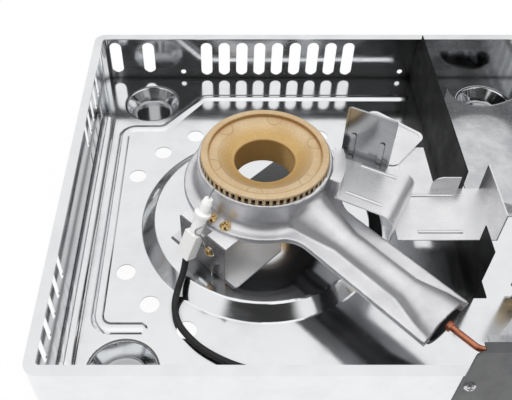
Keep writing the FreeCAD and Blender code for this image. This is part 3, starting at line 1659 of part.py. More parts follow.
def valve_bracket():
    """Bent sheet that carries the governor over the case floor."""
    sheet_of = dim.bracket_sheet
    left = dim.governor_left + dim.bracket_inset
    right = dim.governor_left + dim.governor_length - dim.bracket_inset
    top = dim.governor_bottom
    foot = dim.bracket_foot
    profile = [
        (left - foot, 0),
        (left + sheet_of, 0),
        (left + sheet_of, top - sheet_of),
        (right - sheet_of, top - sheet_of),
        (right - sheet_of, 0),
        (right + foot, 0),
        (right + foot, sheet_of),
        (right, sheet_of),
        (right, top),
        (left, top),
        (left, sheet_of),
        (left - foot, sheet_of),
    ]
    depth = dim.governor_depth - 3 * dim.bracket_inset
    back = -dim.governor_front + dim.governor_depth - dim.bracket_inset
    return padded("valve_bracket", [profile], depth, at_burner(0, back, 0), FACING_FRONT)


def panel_screw_spots():
    inset = dim.panel_screw_inset
    return [(x, z) for x in (dim.panel_left + inset, dim.panel_right - inset)
            for z in (dim.panel_screw_low, dim.panel_screw_high)]


def panel_screw_rods(name, radius):
    """Round cutters through the panel and the case wall behind it."""
    return [rod(f"{name}_{index}", radius, 2 * dim.panel_screw_length,
                at_burner(x, case_front + dim.panel_screw_length, z), FACING_FRONT)
            for index, (x, z) in enumerate(panel_screw_spots(), start=1)]


def lever_tilt():
    return dim.lever_travel / 2


def front_panel():
    """The control panel on the case front, with holes for the shaft and the lever."""
    right = dim.panel_right
    left = dim.panel_left
    height = dim.panel_top - dim.panel_bottom
    tilt = lever_tilt()
    reach = -panel_face - dim.lever_pivot_y
    swing = (reach * sine(tilt) + dim.lever_arm_width / 2) / cosine(tilt) + dim.panel_slot_clearance
    slot_width = dim.lever_thick + 2 * dim.panel_slot_clearance
    middle = at_burner((left + right) / 2, case_front, dim.panel_bottom + height / 2)
    outline = rounded(right - left, height, dim.panel_corner)
    plate = padded("panel_plate", [outline], dim.panel_sheet, middle, FACING_FRONT)
    lip = box("panel_lip_strip", right - left - 2 * dim.panel_corner, dim.panel_lip, dim.panel_sheet,
              at_burner(left + dim.panel_corner, case_front, dim.panel_top - dim.panel_sheet))
    openings = extruded("panel_openings", [
        circle(dim.knob_x, dim.knob_height, dim.shaft_diameter / 2 + dim.shaft_hole_clearance),
        upright_slot(dim.lever_x, dim.lever_pivot_height - swing,
                     dim.lever_pivot_height + swing, slot_width),
    ], 4 * dim.panel_sheet, at_burner(0, case_front + dim.panel_sheet, 0), FACING_FRONT)
    holes = panel_screw_rods("panel_hole", dim.panel_screw_diameter / 2 + dim.screw_clearance)
    return cut("front_panel", fused("panel_solid", plate, lip), openings, *holes)


def panel_screws():
    screws = [cross_head_screw(f"panel_screw_{index}", at_burner(x, panel_face, z), FACING_FRONT,
                               dim.panel_screw_diameter, dim.panel_screw_length, dim.panel_screw_head,
                               dim.panel_screw_head_height)
              for index, (x, z) in enumerate(panel_screw_spots(), start=1)]
    return group("panel_screws", screws)


def control_knob():
    """Round knob with a grip bar, on the end of the valve shaft."""
    spot = at_burner(dim.knob_x, panel_face - dim.knob_gap, dim.knob_height)
    skirt = turned("knob_skirt_disc", [
        (0, 0),
        (dim.knob_radius, 0),
        (dim.knob_radius, dim.knob_skirt / 2),
        (dim.knob_radius - dim.knob_taper, dim.knob_skirt),
        (0, dim.knob_skirt),
    ], spot, FACING_FRONT)
    bar = padded("knob_bar", [rounded(dim.knob_grip_width, 2 * (dim.knob_radius - 2 * dim.knob_taper),
                                      2 * dim.knob_round)], dim.knob_length, spot, FACING_FRONT)
    top = -number_of(dim.knob_length)
    round_edges(bar, dim.knob_round, lambda edge: edge.BoundBox.ZMin > -top - 1e-3)
    bore_y = panel_face - dim.knob_gap + dim.knob_bore_depth
    bore = rod("knob_bore", dim.shaft_diameter / 2 + dim.shaft_clearance, 2 * dim.knob_bore_depth,
               at_burner(dim.knob_x, bore_y, dim.knob_height), FACING_FRONT)
    return cut("control_knob", fused("knob_solid", skirt, bar), bore)


def valve_shaft():
    """The valve's shaft with the cam that presses the igniter."""
    back = -dim.governor_front + dim.shaft_inside
    length = back - panel_face + dim.knob_gap + dim.shaft_in_knob
    shaft = rod("shaft_rod", dim.shaft_diameter / 2, length,
                at_burner(dim.knob_x, back, dim.knob_height), FACING_FRONT)
    cam_back = at_burner(dim.knob_x, cam_y + dim.cam_length / 2, dim.knob_height + dim.cam_offset)
    cam = rod("shaft_cam", dim.cam_radius, dim.cam_length, cam_back, FACING_FRONT)
    return fused("valve_shaft", shaft, cam)


def piezo_igniter():
    low = dim.piezo_height - dim.plunger_depth - plunger_travel - dim.piezo_round
    outline = rounded(dim.piezo_wide, dim.piezo_deep, dim.piezo_round)
    block = padded("piezo_block", [outline], dim.piezo_height, at_burner(dim.knob_x, cam_y, 0))
    bore = rod("piezo_bore", dim.plunger_diameter / 2 + dim.plunger_clearance, dim.piezo_height,
               at_burner(dim.knob_x, cam_y, low))
    return cut("piezo_igniter", block, bore)


def igniter_plunger():
    low = dim.piezo_height - dim.plunger_depth
    top = dim.knob_height + dim.cam_offset - dim.cam_radius - dim.cam_gap
    radius = dim.plunger_diameter / 2
    bevel = dim.cam_gap
    return turned("igniter_plunger", [
        (0, low),
        (radius, low),
        (radius, top - bevel),
        (radius - bevel, top),
        (0, top),
    ], at_burner(dim.knob_x, cam_y, 0))


def terminal_boot():
    radius = dim.boot_diameter / 2
    left = dim.knob_x - dim.piezo_wide / 2 - dim.boot_length
    return turned("terminal_boot", [
        (0, 0),
        (radius * 0.8, 0),
        (radius, dim.boot_length / 2),
        (radius, dim.boot_length),
        (0, dim.boot_length),
    ], at_burner(left, cam_y, dim.boot_height), ALONG_X)


def lead_points():
    """The way of the ignition lead over the floor, from the electrode's sleeve to the igniter's boot."""
    start = spot_vector(at_electrode(dim.lead_seat))
    rest = number_of(dim.lead_diameter) / 2 + 0.1
    left = number_of(dim.knob_x - dim.piezo_wide / 2 - dim.boot_length)
    end = (left, number_of(cam_y), number_of(dim.boot_height))
    on_floor = [
        (-47.3, -48.8, rest + 11.6),
        (-51.1, -57, rest + 4.6),
        (-53.3, -67, rest + 1.3),
        (-51.3, -77.5, rest),
        (-45.5, -86.5, rest),
        (-35, -97, rest),
        (-15, -107.5, rest),
        (16, -114, rest),
        (54, -118.5, rest),
        (94, -122.5, rest + 0.2),
        (left - 16, end[1], end[2]),
        end,
    ]
    return [start] + [spot_vector(at_burner(*spot)) for spot in on_floor]


def ignition_lead():
    points = lead_points()
    runs = [(after - before).Length for before, after in zip(points, points[1:])]
    radii = []
    for before, corner, after in zip(points, points[1:], points[2:]):
        turn = (corner - before).getAngle(after - corner)
        shorter = min((corner - before).Length, (after - corner).Length)
        radii.append(0.45 * shorter / math.tan(turn / 2))
    wire = route(points, radii)
    radius = number_of(dim.lead_diameter) / 2
    item = tube_along("ignition_lead", wire, radius)
    print("lead runs", [round(run, 1) for run in runs], "radii", [round(value, 1) for value in radii])
    print("lead length", round(wire.Length, 1), "volume", round(item.Shape.Volume, 1),
          "expected", round(math.pi * radius ** 2 * wire.Length, 1))
    return item


LEVER_TURN = Rotation(Vector(1, 0, 0), -number_of(lever_tilt()))


def at_lever(side, along, up):
    """A spot on the lever as it rests: along its front arm and up its crank from the pivot."""
    tilt = lever_tilt()
    y = up * sine(tilt) - along * cosine(tilt)
    z = up * cosine(tilt) + along * sine(tilt)
    return at_burner(dim.lever_x + side, y - dim.lever_pivot_y, z + dim.lever_pivot_height)


def lever_arm(name, length):
    half = dim.lever_arm_width / 2
    return padded(name, [rectangle(-length, -half, as_size(0), half)], dim.lever_thick,
                  at_lever(-dim.lever_thick / 2, as_size(0), as_size(0)), LEVER_TURN * FACING_RIGHT)


def cartridge_lever():
    """Bell crank: the arm through the panel slot and the crank that moves the pusher."""
    thick = dim.lever_thick
    half = dim.lever_crank_width / 2
    spot = at_lever(-thick / 2, as_size(0), as_size(0))
    turn = LEVER_TURN * FACING_RIGHT
    arm = lever_arm("lever_arm", dim.lever_reach - dim.grip_round)
    boss = padded("lever_boss", [circle(0, 0, dim.lever_boss_radius)], thick, spot, turn)
    crank_loop = rectangle(-half, as_size(0), half, dim.lever_crank)
    crank = padded("lever_crank_arm", [crank_loop], thick, spot, turn)
    eye = padded("lever_crank_end", [circle(0, dim.lever_crank, half)], thick, spot, turn)
    pin = rod("lever_crank_pin", dim.crank_pin_diameter / 2, dim.crank_pin_length + thick / 2,
              at_lever(-thick / 2 - dim.crank_pin_length, as_size(0), dim.lever_crank), ALONG_X)
    hole = rod("lever_hole", dim.lever_pin_diameter / 2 + dim.lever_pin_clearance, 3 * thick,
               at_lever(-3 * thick / 2, as_size(0), as_size(0)), ALONG_X)
    return cut("cartridge_lever", fused("lever_solid", arm, boss, crank, eye, pin), hole)


def lever_grip():
    half = dim.grip_width / 2
    middle = dim.lever_reach - dim.grip_length / 2
    outline = rounded(dim.grip_length, dim.grip_height, dim.grip_round)
    block = padded("grip_block", [outline], dim.grip_width, at_lever(-half, middle, as_size(0)),
                   LEVER_TURN * FACING_RIGHT)
    return cut("lever_grip", block, lever_arm("grip_socket", dim.lever_reach - dim.grip_round))


def lever_bracket():
    """The clevis on the case floor that holds the lever's pin."""
    sheet_of = dim.clevis_sheet
    inner = dim.lever_thick / 2 + dim.clevis_gap
    outer = inner + sheet_of
    profile = [
        (-outer, 0),
        (outer, 0),
        (outer, dim.clevis_rise),
        (inner, dim.clevis_rise),
        (inner, sheet_of),
        (-inner, sheet_of),
        (-inner, dim.clevis_rise),
        (-outer, dim.clevis_rise),
    ]
    clevis = padded("clevis", [profile], 2 * dim.clevis_half,
                    at_burner(dim.lever_x, -dim.lever_pivot_y + dim.clevis_half, 0), FACING_FRONT)
    hole = rod("clevis_pin_hole", dim.lever_pin_diameter / 2, 4 * outer,
               at_burner(dim.lever_x - 2 * outer, -dim.lever_pivot_y, dim.lever_pivot_height), ALONG_X)
    return cut("lever_bracket", clevis, hole)


def lever_pin():
    outer = dim.lever_thick / 2 + dim.clevis_gap + dim.clevis_sheet
    radius = dim.lever_pin_diameter / 2
    length = 2 * outer + dim.pin_head_length
    return turned("lever_pin", [
        (0, 0),
        (radius, 0),
        (radius, length - dim.pin_head_length),
        (dim.pin_head_radius, length - dim.pin_head_length),
        (dim.pin_head_radius, length),
        (0, length),
    ], at_burner(dim.lever_x - outer, -dim.lever_pivot_y, dim.lever_pivot_height), ALONG_X)


def cartridge_pusher():
    """The slide with the fork that draws the cartridge on to the inlet."""
    sheet_of = dim.pusher_sheet
    left = dim.pusher_x - dim.pusher_half
    right = dim.pusher_x + dim.pusher_half
    low = dim.pusher_lift
    neck = dim.guide_rise + dim.guide_wall
    mouth = dim.fork_mouth
    axis_x = dim.cartridge_x
    axis_z = dim.cartridge_axis_height
    far_left = axis_x - dim.fork_left
    far_right = axis_x + dim.fork_right
    slide = box("pusher_slide", 2 * dim.pusher_half, dim.pusher_front - dim.fork_y, sheet_of,
                at_burner(left, -dim.pusher_front, low))
    fork = padded("pusher_fork", [[
        (left, low),
        (right, low),
        (right, neck),
        (far_right, neck),
        (far_right, dim.fork_top),
        (axis_x + mouth, dim.fork_top),
        (axis_x + mouth, axis_z, mouth, -1),
        (axis_x, axis_z - mouth, mouth, -1),
        (axis_x - mouth, axis_z),
        (axis_x - mouth, dim.fork_top),
        (far_left, dim.fork_top),
        (far_left, neck),
        (left, neck),
    ]], sheet_of, at_burner(0, -dim.fork_y + sheet_of, 0), FACING_FRONT)
    tilt = lever_tilt()
    pin_y = dim.lever_crank * sine(tilt) - dim.lever_pivot_y
    pin_low = dim.lever_pivot_height + dim.lever_crank * cosine(tilt)
    pin_high = dim.lever_pivot_height + dim.lever_crank
    spare = dim.crank_pin_diameter / 2 + 2 * dim.crank_slot_clearance
    width = dim.crank_pin_diameter + 2 * dim.crank_slot_clearance
    front = pin_y - dim.crank_pin_diameter - dim.lever_crank_width
    ear = padded("pusher_ear", [
        rectangle(front, dim.fork_ear_low, -dim.fork_y, dim.fork_ear_high),
        upright_slot(pin_y, pin_low - spare, pin_high + spare, width),
    ], sheet_of, at_burner(far_right - sheet_of, 0, 0), FACING_RIGHT)
    return fused("cartridge_pusher", slide, fork, ear)


def slide_guides():
    """Two rails on the floor that hold the pusher's slide down and straight."""
    gap = dim.guide_clearance
    wall = dim.guide_wall
    over = dim.pusher_lift + dim.pusher_sheet + gap
    edge = dim.pusher_half + gap
    travel = 2 * dim.lever_crank * sine(lever_tilt())
    back = -dim.fork_y - travel - wall
    length = back + dim.pusher_front + travel
    rails = []
    for index, side in enumerate((-1, 1), start=1):
        inner = side * edge
        outer = side * (edge + wall)
        lip = side * (edge - dim.guide_lip)
        high = dim.guide_rise
        loop = [(outer, 0), (inner, 0), (inner, over), (lip, over), (lip, high), (outer, high)]
        rails.append(padded(f"slide_rail_{index}", [loop], length,
                            at_burner(dim.pusher_x, back, 0), FACING_FRONT))
    return group("slide_guides", rails)


NODES = [
    lower_case(),
    rubber_feet(),
    burner_upper(),
    burner_lower(),
    burner_cap(),
    burner_screws(),
    burner_stand(),
    stand_screw(),
    lock_tab(),
    electrode_sleeve(),
    electrode_ceramic(),
    spark_wire(),
    electrode_clip(),
    ignition_lead(),
    heat_plate(),
    flame_shield(),
    rear_heat_plate(),
    heat_bridge(),
    partition(),
    cartridge_cradle(),
    gas_jet(),
    governor_body(),
    governor_cover(),
    governor_screws(),
    inlet_collar(),
    inlet_seal(),
    valve_bracket(),
    front_panel(),
    panel_screws(),
    control_knob(),
    valve_shaft(),
    piezo_igniter(),
    igniter_plunger(),
    terminal_boot(),
    cartridge_lever(),
    lever_grip(),
    lever_bracket(),
    lever_pin(),
    cartridge_pusher(),
    slide_guides(),
]
doc.recompute()
for item in doc.Objects:
    if "Invalid" in item.State or "Error" in item.State:
        raise RuntimeError(f"{item.Name} did not build: {item.State}")

os.makedirs("parts", exist_ok=True)
whole = FreeCAD.BoundBox()
for node in NODES:
    node.Label = node.Name
    shape = node.Shape
    if shape.isNull() or not shape.isValid() or not shape.Solids:
        raise RuntimeError(f"{node.Name} has no valid solid")
    whole.add(shape.BoundBox)
    shape.exportStep(f"parts/{node.Label}.step")
    print(node.Label, "solids", len(shape.Solids), "volume", round(shape.Volume, 1))
corners = (whole.XMin, whole.YMin, whole.ZMin, whole.XMax, whole.YMax, whole.ZMax)
print("box", [round(value, 2) for value in corners])
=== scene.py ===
# %% [markdown]
# # A portable gas stove with its top cover off
#
# The measured parts of a small cartridge stove arrive as plain meshes, one for each real piece.
# This lesson gives them the surfaces they have in life: a mirror-bright stamped tray, satin die-cast
# burner halves, a matt brass cap, white ceramic, black cable.
# It runs from top to bottom, and each step prints what it made.
#
# All lengths are metres and all places are in the frame of the stove: X to the right, Y to the
# back, Z up from the table. The measured meshes stay where they are.

import json
import math

import bmesh
import bpy
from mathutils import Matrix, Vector

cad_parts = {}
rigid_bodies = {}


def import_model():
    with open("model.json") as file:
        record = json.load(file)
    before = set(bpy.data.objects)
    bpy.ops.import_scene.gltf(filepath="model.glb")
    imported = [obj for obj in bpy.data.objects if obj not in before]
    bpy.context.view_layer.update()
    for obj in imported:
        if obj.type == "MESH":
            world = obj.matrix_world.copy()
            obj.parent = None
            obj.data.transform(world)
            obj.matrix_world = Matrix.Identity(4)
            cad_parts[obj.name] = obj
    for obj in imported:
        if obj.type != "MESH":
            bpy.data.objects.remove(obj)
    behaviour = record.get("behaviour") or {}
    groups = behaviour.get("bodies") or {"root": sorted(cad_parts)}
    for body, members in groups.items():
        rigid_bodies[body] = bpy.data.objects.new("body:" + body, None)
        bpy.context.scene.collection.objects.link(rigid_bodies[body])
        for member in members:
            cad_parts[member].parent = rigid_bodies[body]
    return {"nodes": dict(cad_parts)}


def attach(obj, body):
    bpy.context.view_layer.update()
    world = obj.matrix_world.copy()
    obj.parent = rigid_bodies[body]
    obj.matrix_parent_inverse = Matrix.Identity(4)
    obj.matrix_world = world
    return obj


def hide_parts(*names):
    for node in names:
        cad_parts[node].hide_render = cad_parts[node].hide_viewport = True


for leftover in list(bpy.data.objects):
    bpy.data.objects.remove(leftover)
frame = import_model()
bpy.context.view_layer.update()
nodes = frame["nodes"]

# %% [markdown]
# ## The camera
#
# The picture was taken from close by, a little to the left of the burner, looking down at just
# under 48 degrees. The verticals lean outward towards the top of the picture, so the camera is
# tilted, with no roll. The lens is a mild portrait length, and the small sideways shift stands
# for the crop of the original picture.

# %% Camera
CAMERA_PLACE = (-0.07012, -0.28959, 0.35175)
CAMERA_TILT = math.radians(42.234)
LENS = 47.84
SENSOR_WIDTH = 36.0
CROP_SHIFT = 0.0559
NEAREST = 0.01
FARTHEST = 20.0

camera_data = bpy.data.cameras.new("camera")
camera = bpy.data.objects.new("camera", camera_data)
bpy.context.scene.collection.objects.link(camera)
camera.location = CAMERA_PLACE
camera.rotation_euler = (CAMERA_TILT, 0.0, 0.0)
camera_data.lens = LENS
camera_data.sensor_width = SENSOR_WIDTH
camera_data.shift_x = CROP_SHIFT
camera_data.clip_start = NEAREST
camera_data.clip_end = FARTHEST
bpy.context.scene.camera = camera
print("camera at", tuple(camera.location))

# %% [markdown]
# ## The ignition lead
#
# A black silicone lead leaves the white sleeve of the electrode, drops to the tray floor in one
# soft bend, lies along the front of the tray and rises into the boot of the igniter on the right.
# It is 4 mm thick and about 24 cm long, counted along the curve from the sleeve to the boot.
# A NURBS curve of order 3 follows the route points, so the lead bends as a limp cable does.
# The thickness is written on the points and the bevel is one, because Blender counts the radius of
# the points into the box of a curve.

# %% Lead along its route
BURNER = Vector((-0.048, -0.0006, 0.013))
LEAD_RADIUS = 0.002
LEAD_ROUTE = [
    (-0.046189, -0.042926, 0.021080),
    (-0.0473, -0.0488, 0.0137),
    (-0.0511, -0.0570, 0.0067),
    (-0.0533, -0.0670, 0.0034),
    (-0.0513, -0.0775, 0.0021),
    (-0.0455, -0.0865, 0.0021),
    (-0.0350, -0.0970, 0.0021),
    (-0.0150, -0.1075, 0.0021),
    (0.0160, -0.1140, 0.0021),
    (0.0540, -0.1185, 0.0021),
    (0.0940, -0.1225, 0.0023),
    (0.1160, -0.1261, 0.0070),
    (0.1320, -0.1261, 0.0070),
]


def drawn_wire(name, route, radius, roundness, smoothness):
    """A round wire or cable along a route of points, with closed ends."""
    curve = bpy.data.curves.new(name, "CURVE")
    curve.dimensions = "3D"
    curve.bevel_depth = 1.0
    curve.bevel_resolution = roundness
    curve.resolution_u = smoothness
    curve.use_fill_caps = True
    line = curve.splines.new("NURBS")
    line.points.add(len(route) - 1)
    for point, place in zip(line.points, route):
        point.co = (*place, 1.0)
        point.radius = radius
    line.order_u = 3
    line.use_endpoint_u = True
    piece = bpy.data.objects.new(name, curve)
    bpy.context.scene.collection.objects.link(piece)
    return piece


lead_places = [BURNER + Vector(place) for place in LEAD_ROUTE]
lead = drawn_wire("lead", lead_places, LEAD_RADIUS, roundness=8, smoothness=16)
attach(lead, "stove")
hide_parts("ignition_lead")
print("lead with", len(LEAD_ROUTE), "route points")

# %% [markdown]
# ## The spring clip of the electrode
#
# The electrode is held by a clip of bent spring wire: it hooks round the right side of the ceramic,
# runs down over the stand's front plate and ends in an eye under the head of the brass screw.
# The measured solid is a plain band with an arm. The wire is drawn as a curve along the places where
# it touches: points around the ceramic, given by height and angle, then a ring around the screw.

# %% Spring clip
ELECTRODE_FOOT = BURNER + Vector((-0.0466, -0.04325, 0.020))
ELECTRODE_AXIS = Vector((0.0141, 0.0111, 0.037)).normalized()
OUTWARDS = Vector((-1.0, -1.0, 0.0)).normalized()
SIDEWAYS = Vector((1.0, -1.0, 0.0)).normalized()
CLIP_WIRE = 0.00045
CLIP_REACH = 0.0043
CLIP_HOOK = (
    (0.0255, 120.0),
    (0.0252, 95.0),
    (0.0244, 60.0),
    (0.0220, 32.0),
    (0.0196, 28.0),
    (0.0182, 55.0),
    (0.0180, 95.0),
)
SCREW_SIDE = 0.0096
SCREW_OUT = 0.05525
SCREW_HEIGHT = 0.0269
UPWARDS = Vector((0.0, 0.0, 1.0))
EYE_PLACE = BURNER + SCREW_SIDE * SIDEWAYS + SCREW_OUT * OUTWARDS + SCREW_HEIGHT * UPWARDS
EYE_RADIUS = 0.0033
EYE_START = math.radians(180.0)
EYE_TURN = math.radians(300.0)
EYE_STEPS = 12

front_of_axis = (OUTWARDS - OUTWARDS.dot(ELECTRODE_AXIS) * ELECTRODE_AXIS).normalized()
right_of_axis = (SIDEWAYS - SIDEWAYS.dot(ELECTRODE_AXIS) * ELECTRODE_AXIS).normalized()
clip_route = []
for height, degrees in CLIP_HOOK:
    angle = math.radians(degrees)
    around = math.cos(angle) * front_of_axis + math.sin(angle) * right_of_axis
    clip_route.append(ELECTRODE_FOOT + height * ELECTRODE_AXIS + CLIP_REACH * around)
for step in range(EYE_STEPS + 1):
    angle = EYE_START + EYE_TURN * step / EYE_STEPS
    around = math.cos(angle) * SIDEWAYS + math.sin(angle) * UPWARDS
    clip_route.append(EYE_PLACE + EYE_RADIUS * around)
spring_clip = drawn_wire("spring_clip", clip_route, CLIP_WIRE, roundness=3, smoothness=8)
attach(spring_clip, "stove")
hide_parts("electrode_clip")
print("spring clip with", len(clip_route), "points")

# %% [markdown]
# ## The upper casting with its soft joint
#
# A die-cast part has no sharp inner corners: where the mixing tube leaves the bowl, the metal runs
# from one to the other in a broad hollow, and every outer edge is a little round. The measured solid
# has a plain crease there. A copy of its mesh is merged, remeshed into small even faces, and relaxed:
# a few passes all over round the edges, and many passes near the joint draw the hollow.
# Only the outer skin above the flange is relaxed at the joint, so the bore of the tube and the flat
# of the flange keep their shape.

# %% Upper casting
CAST_VOXEL = 0.00075
JOINT_PLACE = BURNER + Vector((0.0335, -0.0379, 0.0445))
JOINT_REACH = 0.024
JOINT_SHARES = (1.0, 0.8, 0.6)
JOINT_PASSES = 23
SKIN_PASSES = 2
MERGE_DISTANCE = 0.000002
UP_FACING = 0.05
JOINT_LOWEST = 0.0545


def relaxed(shape, verts, passes):
    """Moves vertices towards the middle of their neighbours, pass after pass."""
    for _ in range(passes):
        bmesh.ops.smooth_vert(
            shape, verts=verts, factor=0.5, use_axis_x=True, use_axis_y=True, use_axis_z=True
        )


def merged_copy(node_name, name):
    """A new object with the mesh of a measured part, its loose triangles merged."""
    shape = bmesh.new()
    shape.from_mesh(nodes[node_name].data)
    bmesh.ops.remove_doubles(shape, verts=shape.verts, dist=MERGE_DISTANCE)
    data = bpy.data.meshes.new(name)
    shape.to_mesh(data)
    shape.free()
    piece = bpy.data.objects.new(name, data)
    bpy.context.scene.collection.objects.link(piece)
    return piece


upper_casting = merged_copy("burner_upper", "upper_casting")
even_faces = upper_casting.modifiers.new("even_faces", "REMESH")
even_faces.mode = "VOXEL"
even_faces.voxel_size = CAST_VOXEL
view_layer_state = bpy.context.evaluated_depsgraph_get()
cast_mesh = bpy.data.meshes.new_from_object(upper_casting.evaluated_get(view_layer_state))
upper_casting.modifiers.clear()
upper_casting.data = cast_mesh
cast_shape = bmesh.new()
cast_shape.from_mesh(cast_mesh)
relaxed(cast_shape, cast_shape.verts, SKIN_PASSES)
cast_shape.normal_update()
for share in JOINT_SHARES:
    joint_skin = [vert for vert in cast_shape.verts
                  if vert.normal.z > UP_FACING and vert.co.z > JOINT_LOWEST
                  and (vert.co - JOINT_PLACE).length < JOINT_REACH * share]
    relaxed(cast_shape, joint_skin, JOINT_PASSES)
for face in cast_shape.faces:
    face.smooth = True
cast_shape.to_mesh(cast_mesh)
cast_shape.free()
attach(upper_casting, "stove")
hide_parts("burner_upper")
print("upper casting with", len(cast_mesh.polygons), "faces, joint of", len(joint_skin), "points")

# %% [markdown]
# ## Tools for surfaces
#
# Every finish here is a Principled shader whose colour, roughness and relief are steered by
# patterns in object space, so that a scratch or a grain has its real size in millimetres and
# stays on the metal when a part moves. A few small helpers are enough: a place to measure from,
# a cloudy pattern, a range, a blend of two colours, a sum and a relief.

# %% Helpers for finishes
def start_finish(name):
    """A new material with its tree and its Principled shader."""
    material = bpy.data.materials.new(name)
    material.use_nodes = True
    return material, material.node_tree, material.node_tree.nodes["Principled BSDF"]


def opened(material):
    """The tree of a finish, its Principled shader and the colour that it has so far."""
    tree = material.node_tree
    shader = tree.nodes["Principled BSDF"]
    return tree, shader, shader.inputs["Base Color"].links[0].from_socket


def split_place(tree, vector):
    """The X, Y and Z of a place."""
    parts = tree.nodes.new("ShaderNodeSeparateXYZ")
    tree.links.new(vector, parts.inputs["Vector"])
    return parts.outputs["X"], parts.outputs["Y"], parts.outputs["Z"]


def measured_from(tree, centre=(0.0, 0.0, 0.0), stretch=(1.0, 1.0, 1.0), turn=0.0):
    """Object coordinates counted from a centre, turned about Z, then stretched along the axes."""
    source = tree.nodes.new("ShaderNodeTexCoord").outputs["Object"]
    shift = tree.nodes.new("ShaderNodeVectorMath")
    shift.operation = "SUBTRACT"
    shift.inputs[1].default_value = centre
    tree.links.new(source, shift.inputs[0])
    mapping = tree.nodes.new("ShaderNodeMapping")
    mapping.inputs["Rotation"].default_value = (0.0, 0.0, turn)
    mapping.inputs["Scale"].default_value = stretch
    tree.links.new(shift.outputs["Vector"], mapping.inputs["Vector"])
    return mapping.outputs["Vector"]


def clouds(tree, vector, scale, detail=2.0, roughness=0.5):
    """A soft random pattern between about 0.3 and 0.7, scale spots to a metre."""
    noise = tree.nodes.new("ShaderNodeTexNoise")
    noise.inputs["Scale"].default_value = scale
    noise.inputs["Detail"].default_value = detail
    noise.inputs["Roughness"].default_value = roughness
    tree.links.new(vector, noise.inputs["Vector"])
    return noise.outputs["Fac"]


def ranged(tree, value, low, high, start=0.3, stop=0.7):
    """The stretch start to stop of a pattern, spread from low to high with a soft start and end."""
    node = tree.nodes.new("ShaderNodeMapRange")
    node.interpolation_type = "SMOOTHSTEP"
    node.inputs["From Min"].default_value = start
    node.inputs["From Max"].default_value = stop
    node.inputs["To Min"].default_value = low
    node.inputs["To Max"].default_value = high
    tree.links.new(value, node.inputs["Value"])
    return node.outputs["Result"]


COLOUR_A, COLOUR_B, COLOUR_OUT = 6, 7, 2


def blended(tree, share, first, second):
    """A colour between first and second by a pattern. A colour may be a link or three numbers."""
    node = tree.nodes.new("ShaderNodeMix")
    node.data_type = "RGBA"
    tree.links.new(share, node.inputs["Factor"])
    for socket, colour in ((node.inputs[COLOUR_A], first), (node.inputs[COLOUR_B], second)):
        if isinstance(colour, tuple):
            socket.default_value = (*colour, 1.0)
        else:
            tree.links.new(colour, socket)
    return node.outputs[COLOUR_OUT]


def calculated(tree, operation, first, second=None):
    """One Math node. Each side may be a link or a number."""
    node = tree.nodes.new("ShaderNodeMath")
    node.operation = operation
    for socket, value in zip(node.inputs, (first, second)):
        if isinstance(value, (int, float)):
            socket.default_value = value
        elif value is not None:
            tree.links.new(value, socket)
    return node.outputs["Value"]


def relief(tree, height, depth, below=None):
    """A bump of a pattern, depth metres from its lowest to its highest value, over another bump."""
    node = tree.nodes.new("ShaderNodeBump")
    node.inputs["Strength"].default_value = 1.0
    node.inputs["Distance"].default_value = depth
    tree.links.new(height, node.inputs["Height"])
    if below is not None:
        tree.links.new(below, node.inputs["Normal"])
    return node.outputs["Normal"]


def give(material, *names):
    """Puts a finish on measured parts, slot by slot."""
    for name in names:
        for slot in nodes[name].material_slots:
            slot.material = material
    print(material.name, "on", ", ".join(names))

# %% [markdown]
# ## The bright tray
#
# The tray is drawn from bright tinplate: almost a mirror, yet a pressed sheet is never quite flat,
# so reflections swim a little. Handling leaves cloudy patches and faint rolling lines.
# A slow wave bends the normals by less than a degree, the clouds raise the roughness
# here and there, and stretched clouds draw the rolling lines.
# Corners and creases get a painted shade, found by how much of its surroundings a point sees. The height
# tells two more places of painted shade: the cut walls of the round holes, over the thickness of the
# floor sheet, and the bottoms of the pressed cups.

# %% Recipe for bright sheet, and the tray
TRAY_ROLLING = (60.0, 2200.0, 900.0)
TRAY_LINES = 0.0000015
CREASE_REACH = 0.009
CREASE_SAMPLES = 8
CREASE_SHADE = (0.22, 0.22, 0.23)
FLOOR_TOP = 0.0130
CUT_MIDDLE = FLOOR_TOP - 0.0003
CUT_REACH = (0.00020, 0.00028)
CUT_SHADE = (0.16, 0.16, 0.17)
CUP_HEIGHTS = (FLOOR_TOP - 0.0088, FLOOR_TOP - 0.0066)
CUP_SHADE = (0.16, 0.16, 0.17)
CUP_SHARE = 0.55


